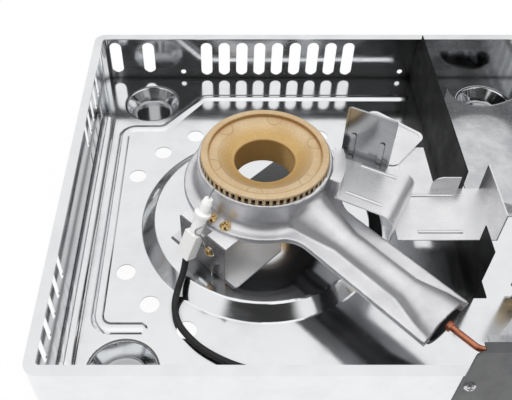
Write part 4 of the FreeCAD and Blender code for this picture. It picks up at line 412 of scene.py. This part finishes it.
def bright_sheet(name, light, dark, smooth, dull, wave):
    """Mirror-bright sheet: two shades of metal, two roughnesses and the depth of its waves."""
    material, tree, shader = start_finish(name)
    place = measured_from(tree)
    smears = clouds(tree, place, scale=38.0, detail=4.0, roughness=0.6)
    rolled = clouds(tree, measured_from(tree, stretch=TRAY_ROLLING), scale=1.0, detail=2.0)
    specks = clouds(tree, place, scale=900.0, detail=1.0)
    shade = blended(tree, ranged(tree, smears, 0.0, 1.0, start=0.35, stop=0.75), light, dark)
    # Painted shade: corners and creases darken where a point sees little of its surroundings.
    crease = tree.nodes.new("ShaderNodeAmbientOcclusion")
    crease.samples = CREASE_SAMPLES
    crease.inputs["Distance"].default_value = CREASE_REACH
    hidden = ranged(tree, crease.outputs["AO"], 1.0, 0.0, start=0.25, stop=0.80)
    crease_shaded = blended(tree, hidden, shade, CREASE_SHADE)
    # Painted shade: a thin dark band over the thickness of the floor sheet, on the walls of its holes.
    height = split_place(tree, place)[2]
    miss = calculated(tree, "ABSOLUTE", calculated(tree, "SUBTRACT", height, CUT_MIDDLE))
    hole_wall_shaded = blended(tree, ranged(tree, miss, 1.0, 0.0, *CUT_REACH), crease_shaded, CUT_SHADE)
    # Painted shade: the bottoms of the pressed cups are darker.
    cup_shaded = blended(tree, ranged(tree, height, CUP_SHARE, 0.0, *CUP_HEIGHTS), hole_wall_shaded, CUP_SHADE)
    tree.links.new(cup_shaded, shader.inputs["Base Color"])
    cloudy = ranged(tree, smears, smooth, dull, start=0.4, stop=0.8)
    spotted = ranged(tree, specks, 0.0, 0.10, start=0.68, stop=0.8)
    lined = ranged(tree, rolled, 0.0, 0.05, start=0.4, stop=0.8)
    rough = calculated(tree, "ADD", calculated(tree, "ADD", cloudy, spotted), lined)
    tree.links.new(rough, shader.inputs["Roughness"])
    waves = clouds(tree, place, scale=22.0, detail=1.0)
    normal = relief(tree, rolled, depth=TRAY_LINES, below=relief(tree, waves, depth=wave))
    tree.links.new(normal, shader.inputs["Normal"])
    shader.inputs["Metallic"].default_value = 1.0
    return material


tray_finish = bright_sheet(
    "bright_sheet", light=(0.86, 0.87, 0.88), dark=(0.80, 0.81, 0.83), smooth=0.09, dull=0.17,
    wave=0.00022,
)
give(tray_finish, "lower_case")

# %% [markdown]
# ## The castings of the burner
#
# The two halves of the mixing tube and bowl are die-cast aluminium. The die leaves a fine satin
# skin: no sharp mirror, a soft highlight along each crest, and a slightly cloudy grey where the
# metal cooled first. A fine grain in the relief and two sizes of cloud in the roughness give that.
# Under its flange the lower half gets a near-black painted shade, so its colour changes there with the
# height.

# %% Recipe for castings
def casting(name, light, dark, smooth, dull, grain):
    """Die-cast metal with a satin skin: two greys, two roughnesses, and the depth of its grain."""
    material, tree, shader = start_finish(name)
    place = measured_from(tree)
    flow = clouds(tree, place, scale=55.0, detail=3.0, roughness=0.6)
    skin = clouds(tree, place, scale=700.0, detail=3.0, roughness=0.6)
    grains = clouds(tree, place, scale=2600.0, detail=2.0, roughness=0.6)
    shade = blended(tree, ranged(tree, flow, 0.0, 1.0), light, dark)
    tree.links.new(shade, shader.inputs["Base Color"])
    rough = calculated(tree, "ADD", ranged(tree, flow, smooth, dull), ranged(tree, skin, -0.03, 0.05))
    tree.links.new(rough, shader.inputs["Roughness"])
    normal = relief(tree, grains, depth=grain, below=relief(tree, skin, depth=2.0 * grain))
    tree.links.new(normal, shader.inputs["Normal"])
    shader.inputs["Metallic"].default_value = 1.0
    return material


# %% Upper casting, lower casting, governor
FLANGE_UNDERSIDE = 0.0499
UNDERSIDE_SHADE_EDGE = 0.0008
UNDERSIDE_SHADE = (0.085, 0.085, 0.09)

cast_finish = casting(
    "die_cast", light=(0.85, 0.85, 0.87), dark=(0.75, 0.75, 0.77), smooth=0.36, dull=0.44,
    grain=0.0000015,
)
upper_casting.data.materials.clear()
upper_casting.data.materials.append(cast_finish)
print(cast_finish.name, "on", upper_casting.name)
belly_finish = casting(
    "die_cast_lower", light=(0.72, 0.72, 0.74), dark=(0.64, 0.64, 0.66), smooth=0.42, dull=0.52,
    grain=0.000003,
)
belly_tree, belly_shader, belly_shade = opened(belly_finish)
# Painted shade: below the underside of the flange the lower half turns near black.
belly_height = split_place(belly_tree, measured_from(belly_tree))[2]
underside_shaded = ranged(
    belly_tree, belly_height, 1.0, 0.0, start=FLANGE_UNDERSIDE - UNDERSIDE_SHADE_EDGE, stop=FLANGE_UNDERSIDE
)
belly_colour = blended(belly_tree, underside_shaded, belly_shade, UNDERSIDE_SHADE)
belly_tree.links.new(belly_colour, belly_shader.inputs["Base Color"])
give(belly_finish, "burner_lower")
zinc_finish = casting(
    "governor_zinc", light=(0.56, 0.57, 0.58), dark=(0.46, 0.47, 0.48), smooth=0.34, dull=0.46,
    grain=0.00001,
)
give(zinc_finish, "governor_body", "governor_cover")

# %% [markdown]
# ## The brass cap
#
# The cap is a brass casting, matt from blasting, with a fine light and dark grain. Inside the
# shallow dish stand six half rings, the marks of the pins that pushed it out of the die.
# The rings are drawn from object coordinates: the dish is folded into six equal sectors and
# the distance to the middle of a mark gives a thin line in the relief and in the colour.
# The metal is pale on the rim and darker and warmer down the dish and in the bore, a painted shade
# that follows the distance from the burner's axis. A thin band at the step of the dish has painted
# shade as well. A painted highlight makes the top edge of the bore the brightest part.

# %% Ejector rings
MARKS = 6
MARK_CIRCLE = 0.0318
MARK_RADIUS = 0.0046
MARK_FIRST = math.radians(17.0)
MARK_LINE = (0.00008, 0.00032)
DISH_RADIUS = 0.0334
DISH_STEP = 0.0002


def long_side(tree, first, second):
    """The long side of a right triangle by its two short sides."""
    squares = [calculated(tree, "POWER", side, 2.0) for side in (first, second)]
    return calculated(tree, "SQRT", calculated(tree, "ADD", *squares))


def round_the_burner(tree, turn=0.0):
    """The two level coordinates from the burner's axis and the distance from it."""
    across, along, _ = split_place(tree, measured_from(tree, tuple(BURNER), turn=turn))
    return across, along, long_side(tree, across, along)


def ring_marks(tree):
    """1 on the thin half rings in the dish of the cap, 0 elsewhere."""
    across, along, reach = round_the_burner(tree, -MARK_FIRST)
    sector = 2.0 * math.pi / MARKS
    angle = calculated(tree, "ARCTAN2", along, across)
    folded = calculated(tree, "PINGPONG", calculated(tree, "ADD", angle, 2.0 * math.pi), sector / 2.0)
    side = calculated(tree, "MULTIPLY", reach, calculated(tree, "SINE", folded))
    out = calculated(tree, "MULTIPLY", reach, calculated(tree, "COSINE", folded))
    away = calculated(tree, "SUBTRACT", out, MARK_CIRCLE)
    span = long_side(tree, away, side)
    miss = calculated(tree, "ABSOLUTE", calculated(tree, "SUBTRACT", span, MARK_RADIUS))
    line = ranged(tree, miss, 1.0, 0.0, *MARK_LINE)
    inside = ranged(tree, reach, 1.0, 0.0, start=DISH_RADIUS - DISH_STEP, stop=DISH_RADIUS)
    return calculated(tree, "MULTIPLY", line, inside)


# %% Matt brass of the cap
DISH_FLOOR = (0.0215, 0.0295)
STEP_SHADE_WIDTH = 0.0012
BORE_RADIUS = 0.0178
BORE_MOUTH = (0.0180, 0.0200)
BORE_EDGE = 0.0693
EDGE_HEIGHTS = (BORE_EDGE - 0.0009, BORE_EDGE - 0.0002)
EDGE_REACH = (BORE_RADIUS + 0.0004, BORE_RADIUS + 0.0009)
RIM_GOLD, RIM_GOLD_DARK = (0.82, 0.65, 0.43), (0.78, 0.58, 0.34)
# Painted shade: the gold darkens and warms down the dish and into the bore.
DISH_SHADE_GOLD = (0.74, 0.50, 0.21)
BORE_SHADE_GOLD = (0.72, 0.47, 0.17)
# Painted shade: a thin darker band where the dish steps up to the rim.
STEP_SHADE = (0.52, 0.30, 0.11)
STEP_SHADE_SHARE = 0.7
# Painted highlight: a bright band on the top edge of the bore.
EDGE_HIGHLIGHT = (0.98, 0.86, 0.58)
EDGE_HIGHLIGHT_SHARE = 0.7
GRAIN_DARK, GRAIN_LIGHT = (0.56, 0.39, 0.19), (0.95, 0.84, 0.66)
MARK_BROWN = (0.42, 0.25, 0.08)
MARK_SHARE = 0.35
MARK_HEIGHT = 0.00012
GRAIN_DEPTH = 0.00003

cap_finish, cap_tree, cap_shader = start_finish("cap_brass")
cap_place = measured_from(cap_tree)
cap_patches = clouds(cap_tree, cap_place, scale=60.0, detail=4.0, roughness=0.65)
cap_sparkle = clouds(cap_tree, cap_place, scale=1500.0, detail=3.0, roughness=0.8)
cap_grain = clouds(cap_tree, cap_place, scale=1100.0, detail=3.0, roughness=0.7)
cap_marks = ring_marks(cap_tree)
cap_reach = round_the_burner(cap_tree)[2]
rim_miss = calculated(cap_tree, "ABSOLUTE", calculated(cap_tree, "SUBTRACT", cap_reach, DISH_RADIUS))
high_on_bore = ranged(cap_tree, split_place(cap_tree, cap_place)[2], 0.0, EDGE_HIGHLIGHT_SHARE, *EDGE_HEIGHTS)
near_bore = ranged(cap_tree, cap_reach, 1.0, 0.0, *EDGE_REACH)
gold = blended(cap_tree, ranged(cap_tree, cap_patches, 0.0, 1.0), RIM_GOLD, RIM_GOLD_DARK)
for cap_share, tint in (
    (ranged(cap_tree, cap_reach, 1.0, 0.0, *DISH_FLOOR), DISH_SHADE_GOLD),
    (ranged(cap_tree, cap_reach, 1.0, 0.0, *BORE_MOUTH), BORE_SHADE_GOLD),
    (ranged(cap_tree, rim_miss, STEP_SHADE_SHARE, 0.0, start=0.0, stop=STEP_SHADE_WIDTH), STEP_SHADE),
    (calculated(cap_tree, "MULTIPLY", high_on_bore, near_bore), EDGE_HIGHLIGHT),
    (ranged(cap_tree, cap_sparkle, 0.30, 0.0, start=0.30, stop=0.48), GRAIN_DARK),
    (ranged(cap_tree, cap_sparkle, 0.0, 0.5, start=0.52, stop=0.72), GRAIN_LIGHT),
    (calculated(cap_tree, "MULTIPLY", cap_marks, MARK_SHARE), MARK_BROWN),
):
    gold = blended(cap_tree, cap_share, gold, tint)
cap_tree.links.new(gold, cap_shader.inputs["Base Color"])
cap_rough = calculated(cap_tree, "ADD", ranged(cap_tree, cap_patches, 0.55, 0.64),
                       ranged(cap_tree, cap_sparkle, 0.06, -0.08))
cap_tree.links.new(cap_rough, cap_shader.inputs["Roughness"])
cap_raised = relief(cap_tree, cap_marks, depth=MARK_HEIGHT)
cap_normal = relief(cap_tree, cap_grain, depth=GRAIN_DEPTH, below=cap_raised)
cap_tree.links.new(cap_normal, cap_shader.inputs["Normal"])
cap_shader.inputs["Metallic"].default_value = 0.9
give(cap_finish, "burner_cap")

# %% [markdown]
# ## Turned and drawn metal
#
# Screws, the inlet collar and the jet pipe are turned or drawn: smoother than the cap, with a very
# fine grain and a little tarnish. The brass screws are brighter than the copper of the jet. Steel
# screws, shaft, pin, spring clip and spark wire follow the same recipe in grey.

# %% Recipe for turned metal
LATHE_GRAIN = 0.0000015


def turned_metal(name, light, dark, smooth, dull):
    """Bright turned metal with fine lathe grain and a little tarnish."""
    material, tree, shader = start_finish(name)
    place = measured_from(tree)
    tarnish = clouds(tree, place, scale=260.0, detail=4.0, roughness=0.6)
    grain = clouds(tree, place, scale=2400.0, detail=2.0, roughness=0.5)
    shade = blended(tree, ranged(tree, tarnish, 0.0, 1.0, start=0.4, stop=0.72), light, dark)
    tree.links.new(shade, shader.inputs["Base Color"])
    tree.links.new(ranged(tree, tarnish, smooth, dull), shader.inputs["Roughness"])
    tree.links.new(relief(tree, grain, depth=LATHE_GRAIN), shader.inputs["Normal"])
    shader.inputs["Metallic"].default_value = 1.0
    return material


# %% Brass, copper and steel parts
screw_brass = turned_metal(
    "screw_brass", light=(0.80, 0.58, 0.28), dark=(0.58, 0.38, 0.14), smooth=0.12, dull=0.22
)
give(screw_brass, "burner_screws", "stand_screw")
collar_brass = turned_metal(
    "collar_brass", light=(0.80, 0.62, 0.32), dark=(0.64, 0.45, 0.20), smooth=0.22, dull=0.34
)
give(collar_brass, "inlet_collar")
jet_copper = turned_metal(
    "jet_copper", light=(0.62, 0.24, 0.14), dark=(0.42, 0.14, 0.08), smooth=0.26, dull=0.42
)
give(jet_copper, "gas_jet")
screw_steel = turned_metal(
    "screw_steel", light=(0.70, 0.70, 0.72), dark=(0.55, 0.55, 0.57), smooth=0.22, dull=0.34
)
give(screw_steel, "governor_screws", "panel_screws")
shaft_steel = turned_metal(
    "shaft_steel", light=(0.68, 0.68, 0.70), dark=(0.54, 0.54, 0.56), smooth=0.20, dull=0.32
)
give(shaft_steel, "valve_shaft", "lever_pin")
clip_finish = turned_metal(
    "clip_wire", light=(0.84, 0.84, 0.85), dark=(0.70, 0.70, 0.72), smooth=0.12, dull=0.22
)
spring_clip.data.materials.append(clip_finish)
print(clip_finish.name, "on", spring_clip.name)
give(clip_finish, "lock_tab")
spark_steel = turned_metal(
    "spark_steel", light=(0.60, 0.60, 0.60), dark=(0.40, 0.40, 0.41), smooth=0.28, dull=0.42
)
give(spark_steel, "spark_wire")

# %% [markdown]
# ## Plain sheet: stand, brackets, heat plates
#
# The brackets are zinc-plated steel and the heat plates aluminium. Both are rolled sheet with a
# satin that runs one way, duller than the tray. The heat plates sit beside the flame, so they are
# plain bright aluminium with a faint brushed grain. The stand gets painted shade on its front plate and
# where it reaches under the burner. The wall of the cartridge bay is near black with little gloss, a
# painted shade for the dark bay.

# %% Recipe for rolled sheet
SHEET_GRAIN = (120.0, 2600.0, 1200.0)
SHEET_WAVE = 0.00008
SHEET_LINES = 0.0000002


def rolled_sheet(name, light, dark, smooth, dull, metal=1.0):
    """Satin rolled sheet with its grain along X."""
    material, tree, shader = start_finish(name)
    place = measured_from(tree)
    patches = clouds(tree, place, scale=70.0, detail=3.0, roughness=0.6)
    lines = clouds(tree, measured_from(tree, stretch=SHEET_GRAIN), scale=1.0, detail=3.0, roughness=0.6)
    shade = blended(tree, ranged(tree, patches, 0.0, 1.0), light, dark)
    tree.links.new(shade, shader.inputs["Base Color"])
    rough = calculated(tree, "ADD", ranged(tree, patches, smooth, dull), ranged(tree, lines, -0.02, 0.05))
    tree.links.new(rough, shader.inputs["Roughness"])
    waves = clouds(tree, place, scale=40.0, detail=1.0)
    normal = relief(tree, lines, depth=SHEET_LINES, below=relief(tree, waves, depth=SHEET_WAVE))
    tree.links.new(normal, shader.inputs["Normal"])
    shader.inputs["Metallic"].default_value = metal
    return material


# %% Stand, walls and plates
STAND_TURN = math.radians(135.0)
STAND_FACE = 0.0540
FACE_STEP = 0.0006
UNDER_BURNER_REACH = (-0.020, 0.005)
UNDER_BURNER_SHADE = (0.10, 0.10, 0.105)
FRONT_SHADE = (0.14, 0.14, 0.145)
BAY_GLOSS = 0.12

stand_finish = rolled_sheet(
    "stand_sheet", light=(0.82, 0.82, 0.83), dark=(0.75, 0.75, 0.77), smooth=0.24, dull=0.34, metal=0.25
)
stand_tree, stand_shader, stand_shade = opened(stand_finish)
# Painted shade: darker behind the burner's axis, under the burner, and on the stand's front plate.
stand_under_shade = ranged(stand_tree, round_the_burner(stand_tree)[1], 0.0, 1.0, *UNDER_BURNER_REACH)
stand_shaded = blended(stand_tree, stand_under_shade, stand_shade, UNDER_BURNER_SHADE)
stand_facing = round_the_burner(stand_tree, STAND_TURN)[0]
stand_front = ranged(stand_tree, stand_facing, 0.0, 1.0, start=STAND_FACE - FACE_STEP, stop=STAND_FACE)
stand_colour = blended(stand_tree, stand_front, stand_shaded, FRONT_SHADE)
stand_tree.links.new(stand_colour, stand_shader.inputs["Base Color"])
give(stand_finish, "burner_stand")
wall_sheet = rolled_sheet(
    "wall_sheet", light=(0.70, 0.71, 0.72), dark=(0.58, 0.59, 0.61), smooth=0.20, dull=0.30
)
give(wall_sheet, "cartridge_cradle", "valve_bracket", "lever_bracket", "slide_guides")
# Painted shade: the near-black wall stands for the shade inside the cartridge bay.
bay_shade_finish = rolled_sheet(
    "bay_wall_shade", light=(0.011, 0.011, 0.0115), dark=(0.007, 0.007, 0.0075), smooth=0.45, dull=0.55,
    metal=0.0,
)
opened(bay_shade_finish)[1].inputs["Specular IOR Level"].default_value = BAY_GLOSS
give(bay_shade_finish, "partition")
heat_aluminium = rolled_sheet(
    "heat_aluminium", light=(0.86, 0.86, 0.87), dark=(0.80, 0.80, 0.82), smooth=0.26, dull=0.34,
    metal=0.85,
)
give(heat_aluminium, "heat_plate", "heat_bridge")
rear_aluminium = rolled_sheet(
    "rear_aluminium", light=(0.82, 0.82, 0.83), dark=(0.76, 0.76, 0.78), smooth=0.26, dull=0.36,
    metal=0.55,
)
give(rear_aluminium, "rear_heat_plate")
lever_steel = rolled_sheet(
    "lever_steel", light=(0.66, 0.66, 0.67), dark=(0.52, 0.52, 0.54), smooth=0.22, dull=0.34
)
give(lever_steel, "cartridge_lever", "cartridge_pusher")
shield_finish = bright_sheet(
    "shield_bright", light=(0.50, 0.51, 0.52), dark=(0.44, 0.45, 0.46), smooth=0.15, dull=0.22,
    wave=0.00005,
)
give(shield_finish, "flame_shield")

# %% [markdown]
# ## Ceramic, plastic and rubber
#
# The electrode is glazed white ceramic in a white sleeve. The lead, boot, feet and seal are
# rubber, matt and a little dusty. Knob, grip and igniter are moulded plastic with the fine
# spark-eroded texture of their moulds. The paint of the front panel has the same recipe.

# %% Recipe for parts that are not metal
def moulded(name, light, dark, smooth, dull, grain_scale, grain_depth, gloss=0.5):
    """A material that is not metal: two shades, two roughnesses, and the size of its grain."""
    material, tree, shader = start_finish(name)
    place = measured_from(tree)
    patches = clouds(tree, place, scale=90.0, detail=3.0, roughness=0.6)
    grain = clouds(tree, place, scale=grain_scale, detail=2.0, roughness=0.6)
    shade = blended(tree, ranged(tree, patches, 0.0, 1.0), light, dark)
    tree.links.new(shade, shader.inputs["Base Color"])
    rough = calculated(tree, "ADD", ranged(tree, patches, smooth, dull), ranged(tree, grain, -0.03, 0.04))
    tree.links.new(rough, shader.inputs["Roughness"])
    tree.links.new(relief(tree, grain, depth=grain_depth), shader.inputs["Normal"])
    shader.inputs["Specular IOR Level"].default_value = gloss
    return material


# %% Ceramic, rubber and plastic
white_ceramic = moulded(
    "white_ceramic", light=(0.96, 0.96, 0.95), dark=(0.93, 0.93, 0.92), smooth=0.12, dull=0.24,
    grain_scale=900.0, grain_depth=0.000004,
)
give(white_ceramic, "electrode_ceramic")
white_sleeve = moulded(
    "white_sleeve", light=(0.95, 0.95, 0.94), dark=(0.91, 0.91, 0.90), smooth=0.36, dull=0.46,
    grain_scale=1400.0, grain_depth=0.000008,
)
give(white_sleeve, "electrode_sleeve")
boot_rubber = moulded(
    "boot_rubber", light=(0.030, 0.030, 0.032), dark=(0.018, 0.018, 0.020), smooth=0.50, dull=0.62,
    grain_scale=2000.0, grain_depth=0.00002,
)
give(boot_rubber, "terminal_boot")
foot_rubber = moulded(
    "foot_rubber", light=(0.035, 0.035, 0.036), dark=(0.022, 0.022, 0.023), smooth=0.60, dull=0.74,
    grain_scale=1400.0, grain_depth=0.00003,
)
give(foot_rubber, "rubber_feet")
seal_rubber = moulded(
    "seal_rubber", light=(0.030, 0.030, 0.030), dark=(0.018, 0.018, 0.018), smooth=0.42, dull=0.54,
    grain_scale=1800.0, grain_depth=0.00001,
)
give(seal_rubber, "inlet_seal")
knob_plastic = moulded(
    "knob_plastic", light=(0.040, 0.040, 0.042), dark=(0.026, 0.026, 0.028), smooth=0.34, dull=0.44,
    grain_scale=1500.0, grain_depth=0.00002,
)
give(knob_plastic, "control_knob")
grip_plastic = moulded(
    "grip_plastic", light=(0.040, 0.040, 0.042), dark=(0.026, 0.026, 0.028), smooth=0.36, dull=0.46,
    grain_scale=1500.0, grain_depth=0.00002,
)
give(grip_plastic, "lever_grip")
piezo_plastic = moulded(
    "piezo_plastic", light=(0.050, 0.050, 0.053), dark=(0.034, 0.034, 0.036), smooth=0.32, dull=0.42,
    grain_scale=1500.0, grain_depth=0.00001,
)
give(piezo_plastic, "piezo_igniter")
plunger_plastic = moulded(
    "plunger_plastic", light=(0.74, 0.72, 0.66), dark=(0.66, 0.64, 0.58), smooth=0.34, dull=0.44,
    grain_scale=1500.0, grain_depth=0.00001,
)
give(plunger_plastic, "igniter_plunger")
panel_paint = moulded(
    "panel_paint", light=(0.075, 0.077, 0.080), dark=(0.058, 0.060, 0.063), smooth=0.28, dull=0.38,
    grain_scale=1100.0, grain_depth=0.00003,
)
give(panel_paint, "front_panel")
lead_finish = moulded(
    "lead_black", light=(0.024, 0.024, 0.025), dark=(0.015, 0.015, 0.016), smooth=0.50, dull=0.60,
    grain_scale=1600.0, grain_depth=0.00001, gloss=0.3,
)
lead.data.materials.append(lead_finish)
print(lead_finish.name, "on", lead.name)

# %% [markdown]
# ## Floor
#
# The stove stands on a plain white table. The floor is a large sheet with a very faint mottling,
# and for rays that come straight from the camera, from a mirror or through glass it is mostly
# self-lit, so it reads as white while a faint shadow of the stove still shows on it.

# %% White table
FLOOR_CELLS = 8
FLOOR_HALF = 4.0
FLOOR_GLOW = 0.93
FLOOR_WHITE, FLOOR_PALE = (0.90, 0.90, 0.90), (0.87, 0.87, 0.87)
FLOOR_ROUGHNESS = 0.7

floor_mesh = bmesh.new()
bmesh.ops.create_grid(floor_mesh, x_segments=FLOOR_CELLS, y_segments=FLOOR_CELLS, size=FLOOR_HALF)
floor_data = bpy.data.meshes.new("floor")
floor_mesh.to_mesh(floor_data)
floor_mesh.free()
floor = bpy.data.objects.new("floor", floor_data)
bpy.context.scene.collection.objects.link(floor)
floor_finish, floor_tree, floor_shader = start_finish("white_table")
floor_patches = clouds(floor_tree, measured_from(floor_tree), scale=9.0, detail=3.0)
floor_shade = blended(floor_tree, ranged(floor_tree, floor_patches, 0.0, 1.0), FLOOR_WHITE, FLOOR_PALE)
floor_tree.links.new(floor_shade, floor_shader.inputs["Base Color"])
floor_shader.inputs["Roughness"].default_value = FLOOR_ROUGHNESS
floor_paths = floor_tree.nodes.new("ShaderNodeLightPath")
floor_mirrored = calculated(floor_tree, "MAXIMUM", floor_paths.outputs["Is Glossy Ray"],
                            floor_paths.outputs["Is Transmission Ray"])
floor_seen = calculated(floor_tree, "MAXIMUM", floor_paths.outputs["Is Camera Ray"], floor_mirrored)
floor_glow = floor_tree.nodes.new("ShaderNodeEmission")
floor_mixed = floor_tree.nodes.new("ShaderNodeMixShader")
floor_share = calculated(floor_tree, "MULTIPLY", floor_seen, FLOOR_GLOW)
floor_tree.links.new(floor_share, floor_mixed.inputs["Fac"])
floor_tree.links.new(floor_shader.outputs["BSDF"], floor_mixed.inputs[1])
floor_tree.links.new(floor_glow.outputs["Emission"], floor_mixed.inputs[2])
floor_tree.links.new(floor_mixed.outputs["Shader"],
                     floor_tree.nodes["Material Output"].inputs["Surface"])
floor_data.materials.append(floor_finish)
print("floor", tuple(floor.dimensions))

# %% [markdown]
# ## Studio light
#
# Bright metal looks like what stands around it, so the studio matters as much as the metal.
# The room is dim along its walls and grows white towards the ceiling, brightest straight above.
# In front there is a dark strip where the camera stands, with the white room on each side of it:
# the front slope of the tray's plateau shows it as a dark band. The world draws that room
# from the direction alone. Matt surfaces get an even soft light in its place, and the picture's
# background is plain white.

# %% World
WALL_LIGHT, CEILING_LIGHT = 0.18, 0.93
WALL_TOP = (0.28, 0.58)
CEILING_PATCH = 0.15
PATCH_HEIGHTS = (0.84, 0.98)
FRONT_EDGE = (-0.62, -0.38)
STRIP_LOW, STRIP_HIGH = 0.34, 0.14
STRIP_HEIGHTS = (0.66, 0.78)
STRIP_FADE = 0.12
STRIP_FOOT = (0.25, 0.45)
STRIP_DEPTH = 0.96
SOFT_LOW, SOFT_HIGH = 0.40, 1.15
SOFT_HEIGHTS = (0.0, 0.7)
NUMBER_A, NUMBER_B, NUMBER_OUT = 2, 3, 0

world = bpy.data.worlds.new("studio")
bpy.context.scene.world = world
world.use_nodes = True
room = world.node_tree
heading = room.nodes.new("ShaderNodeTexCoord").outputs["Generated"]
sideways, backwards, upwards = split_place(room, heading)
room_light = ranged(room, upwards, WALL_LIGHT, CEILING_LIGHT, *WALL_TOP)
ahead = ranged(room, backwards, 1.0, 0.0, *FRONT_EDGE)
strip_reach = ranged(room, upwards, STRIP_LOW, STRIP_HIGH, *STRIP_HEIGHTS)
beyond = calculated(room, "SUBTRACT", calculated(room, "ABSOLUTE", sideways), strip_reach)
middle = ranged(room, beyond, 1.0, 0.0, start=0.0, stop=STRIP_FADE)
high_enough = ranged(room, upwards, 0.0, 1.0, *STRIP_FOOT)
dark_strip = calculated(room, "MULTIPLY", calculated(room, "MULTIPLY", ahead, middle), high_enough)
keep = calculated(room, "SUBTRACT", 1.0, calculated(room, "MULTIPLY", dark_strip, STRIP_DEPTH))
ceiling = ranged(room, upwards, 0.0, CEILING_PATCH, *PATCH_HEIGHTS)
levels = calculated(room, "ADD", calculated(room, "MULTIPLY", room_light, keep), ceiling)
paths = room.nodes.new("ShaderNodeLightPath")
soft_light = ranged(room, upwards, SOFT_LOW, SOFT_HIGH, *SOFT_HEIGHTS)
for ray, seen in (("Is Diffuse Ray", soft_light), ("Is Camera Ray", 1.0)):
    level = room.nodes.new("ShaderNodeMix")
    level.data_type = "FLOAT"
    room.links.new(paths.outputs[ray], level.inputs["Factor"])
    room.links.new(levels, level.inputs[NUMBER_A])
    if isinstance(seen, float):
        level.inputs[NUMBER_B].default_value = seen
    else:
        room.links.new(seen, level.inputs[NUMBER_B])
    levels = level.outputs[NUMBER_OUT]
background = room.nodes["Background"]
background.inputs["Color"].default_value = (1.0, 1.0, 1.0, 1.0)
room.links.new(levels, background.inputs["Strength"])
print("world", world.name, "with", len(room.nodes), "shader nodes")

# %% [markdown]
# ## Soft lamps
#
# Three soft lamps give the shadows: one overhead and one on each side of the camera. They are kept
# out of mirrors, because their hard outlines would show as bars in the bright sheet.

# %% Lamps
def softbox(name, place, aim, width, height, power):
    """A rectangular lamp at a place, turned to shine at a point and left out of reflections."""
    data = bpy.data.lights.new(name, "AREA")
    data.shape = "RECTANGLE"
    data.size = width
    data.size_y = height
    data.energy = power
    lamp = bpy.data.objects.new(name, data)
    bpy.context.scene.collection.objects.link(lamp)
    lamp.visible_glossy = False
    lamp.location = place
    lamp.rotation_euler = (Vector(aim) - Vector(place)).to_track_quat("-Z", "Y").to_euler()
    print("lamp", name, "at", place, "with", power, "W")


softbox(
    "overhead",
    place=(-0.05, -0.10, 1.0), aim=(-0.05, -0.10, 0.0), width=0.5, height=0.35, power=1.8,
)
softbox(
    "front_left",
    place=(-0.75, -0.75, 0.9), aim=(-0.03, 0.0, 0.04), width=0.4, height=0.5, power=0.6,
)
softbox(
    "front_right",
    place=(0.75, -0.75, 0.9), aim=(0.0, 0.0, 0.04), width=0.4, height=0.5, power=0.5,
)

# %% [markdown]
# ## View
#
# Colours are shown as they are written, without a film look.

# %% View
bpy.context.scene.view_settings.view_transform = "Standard"
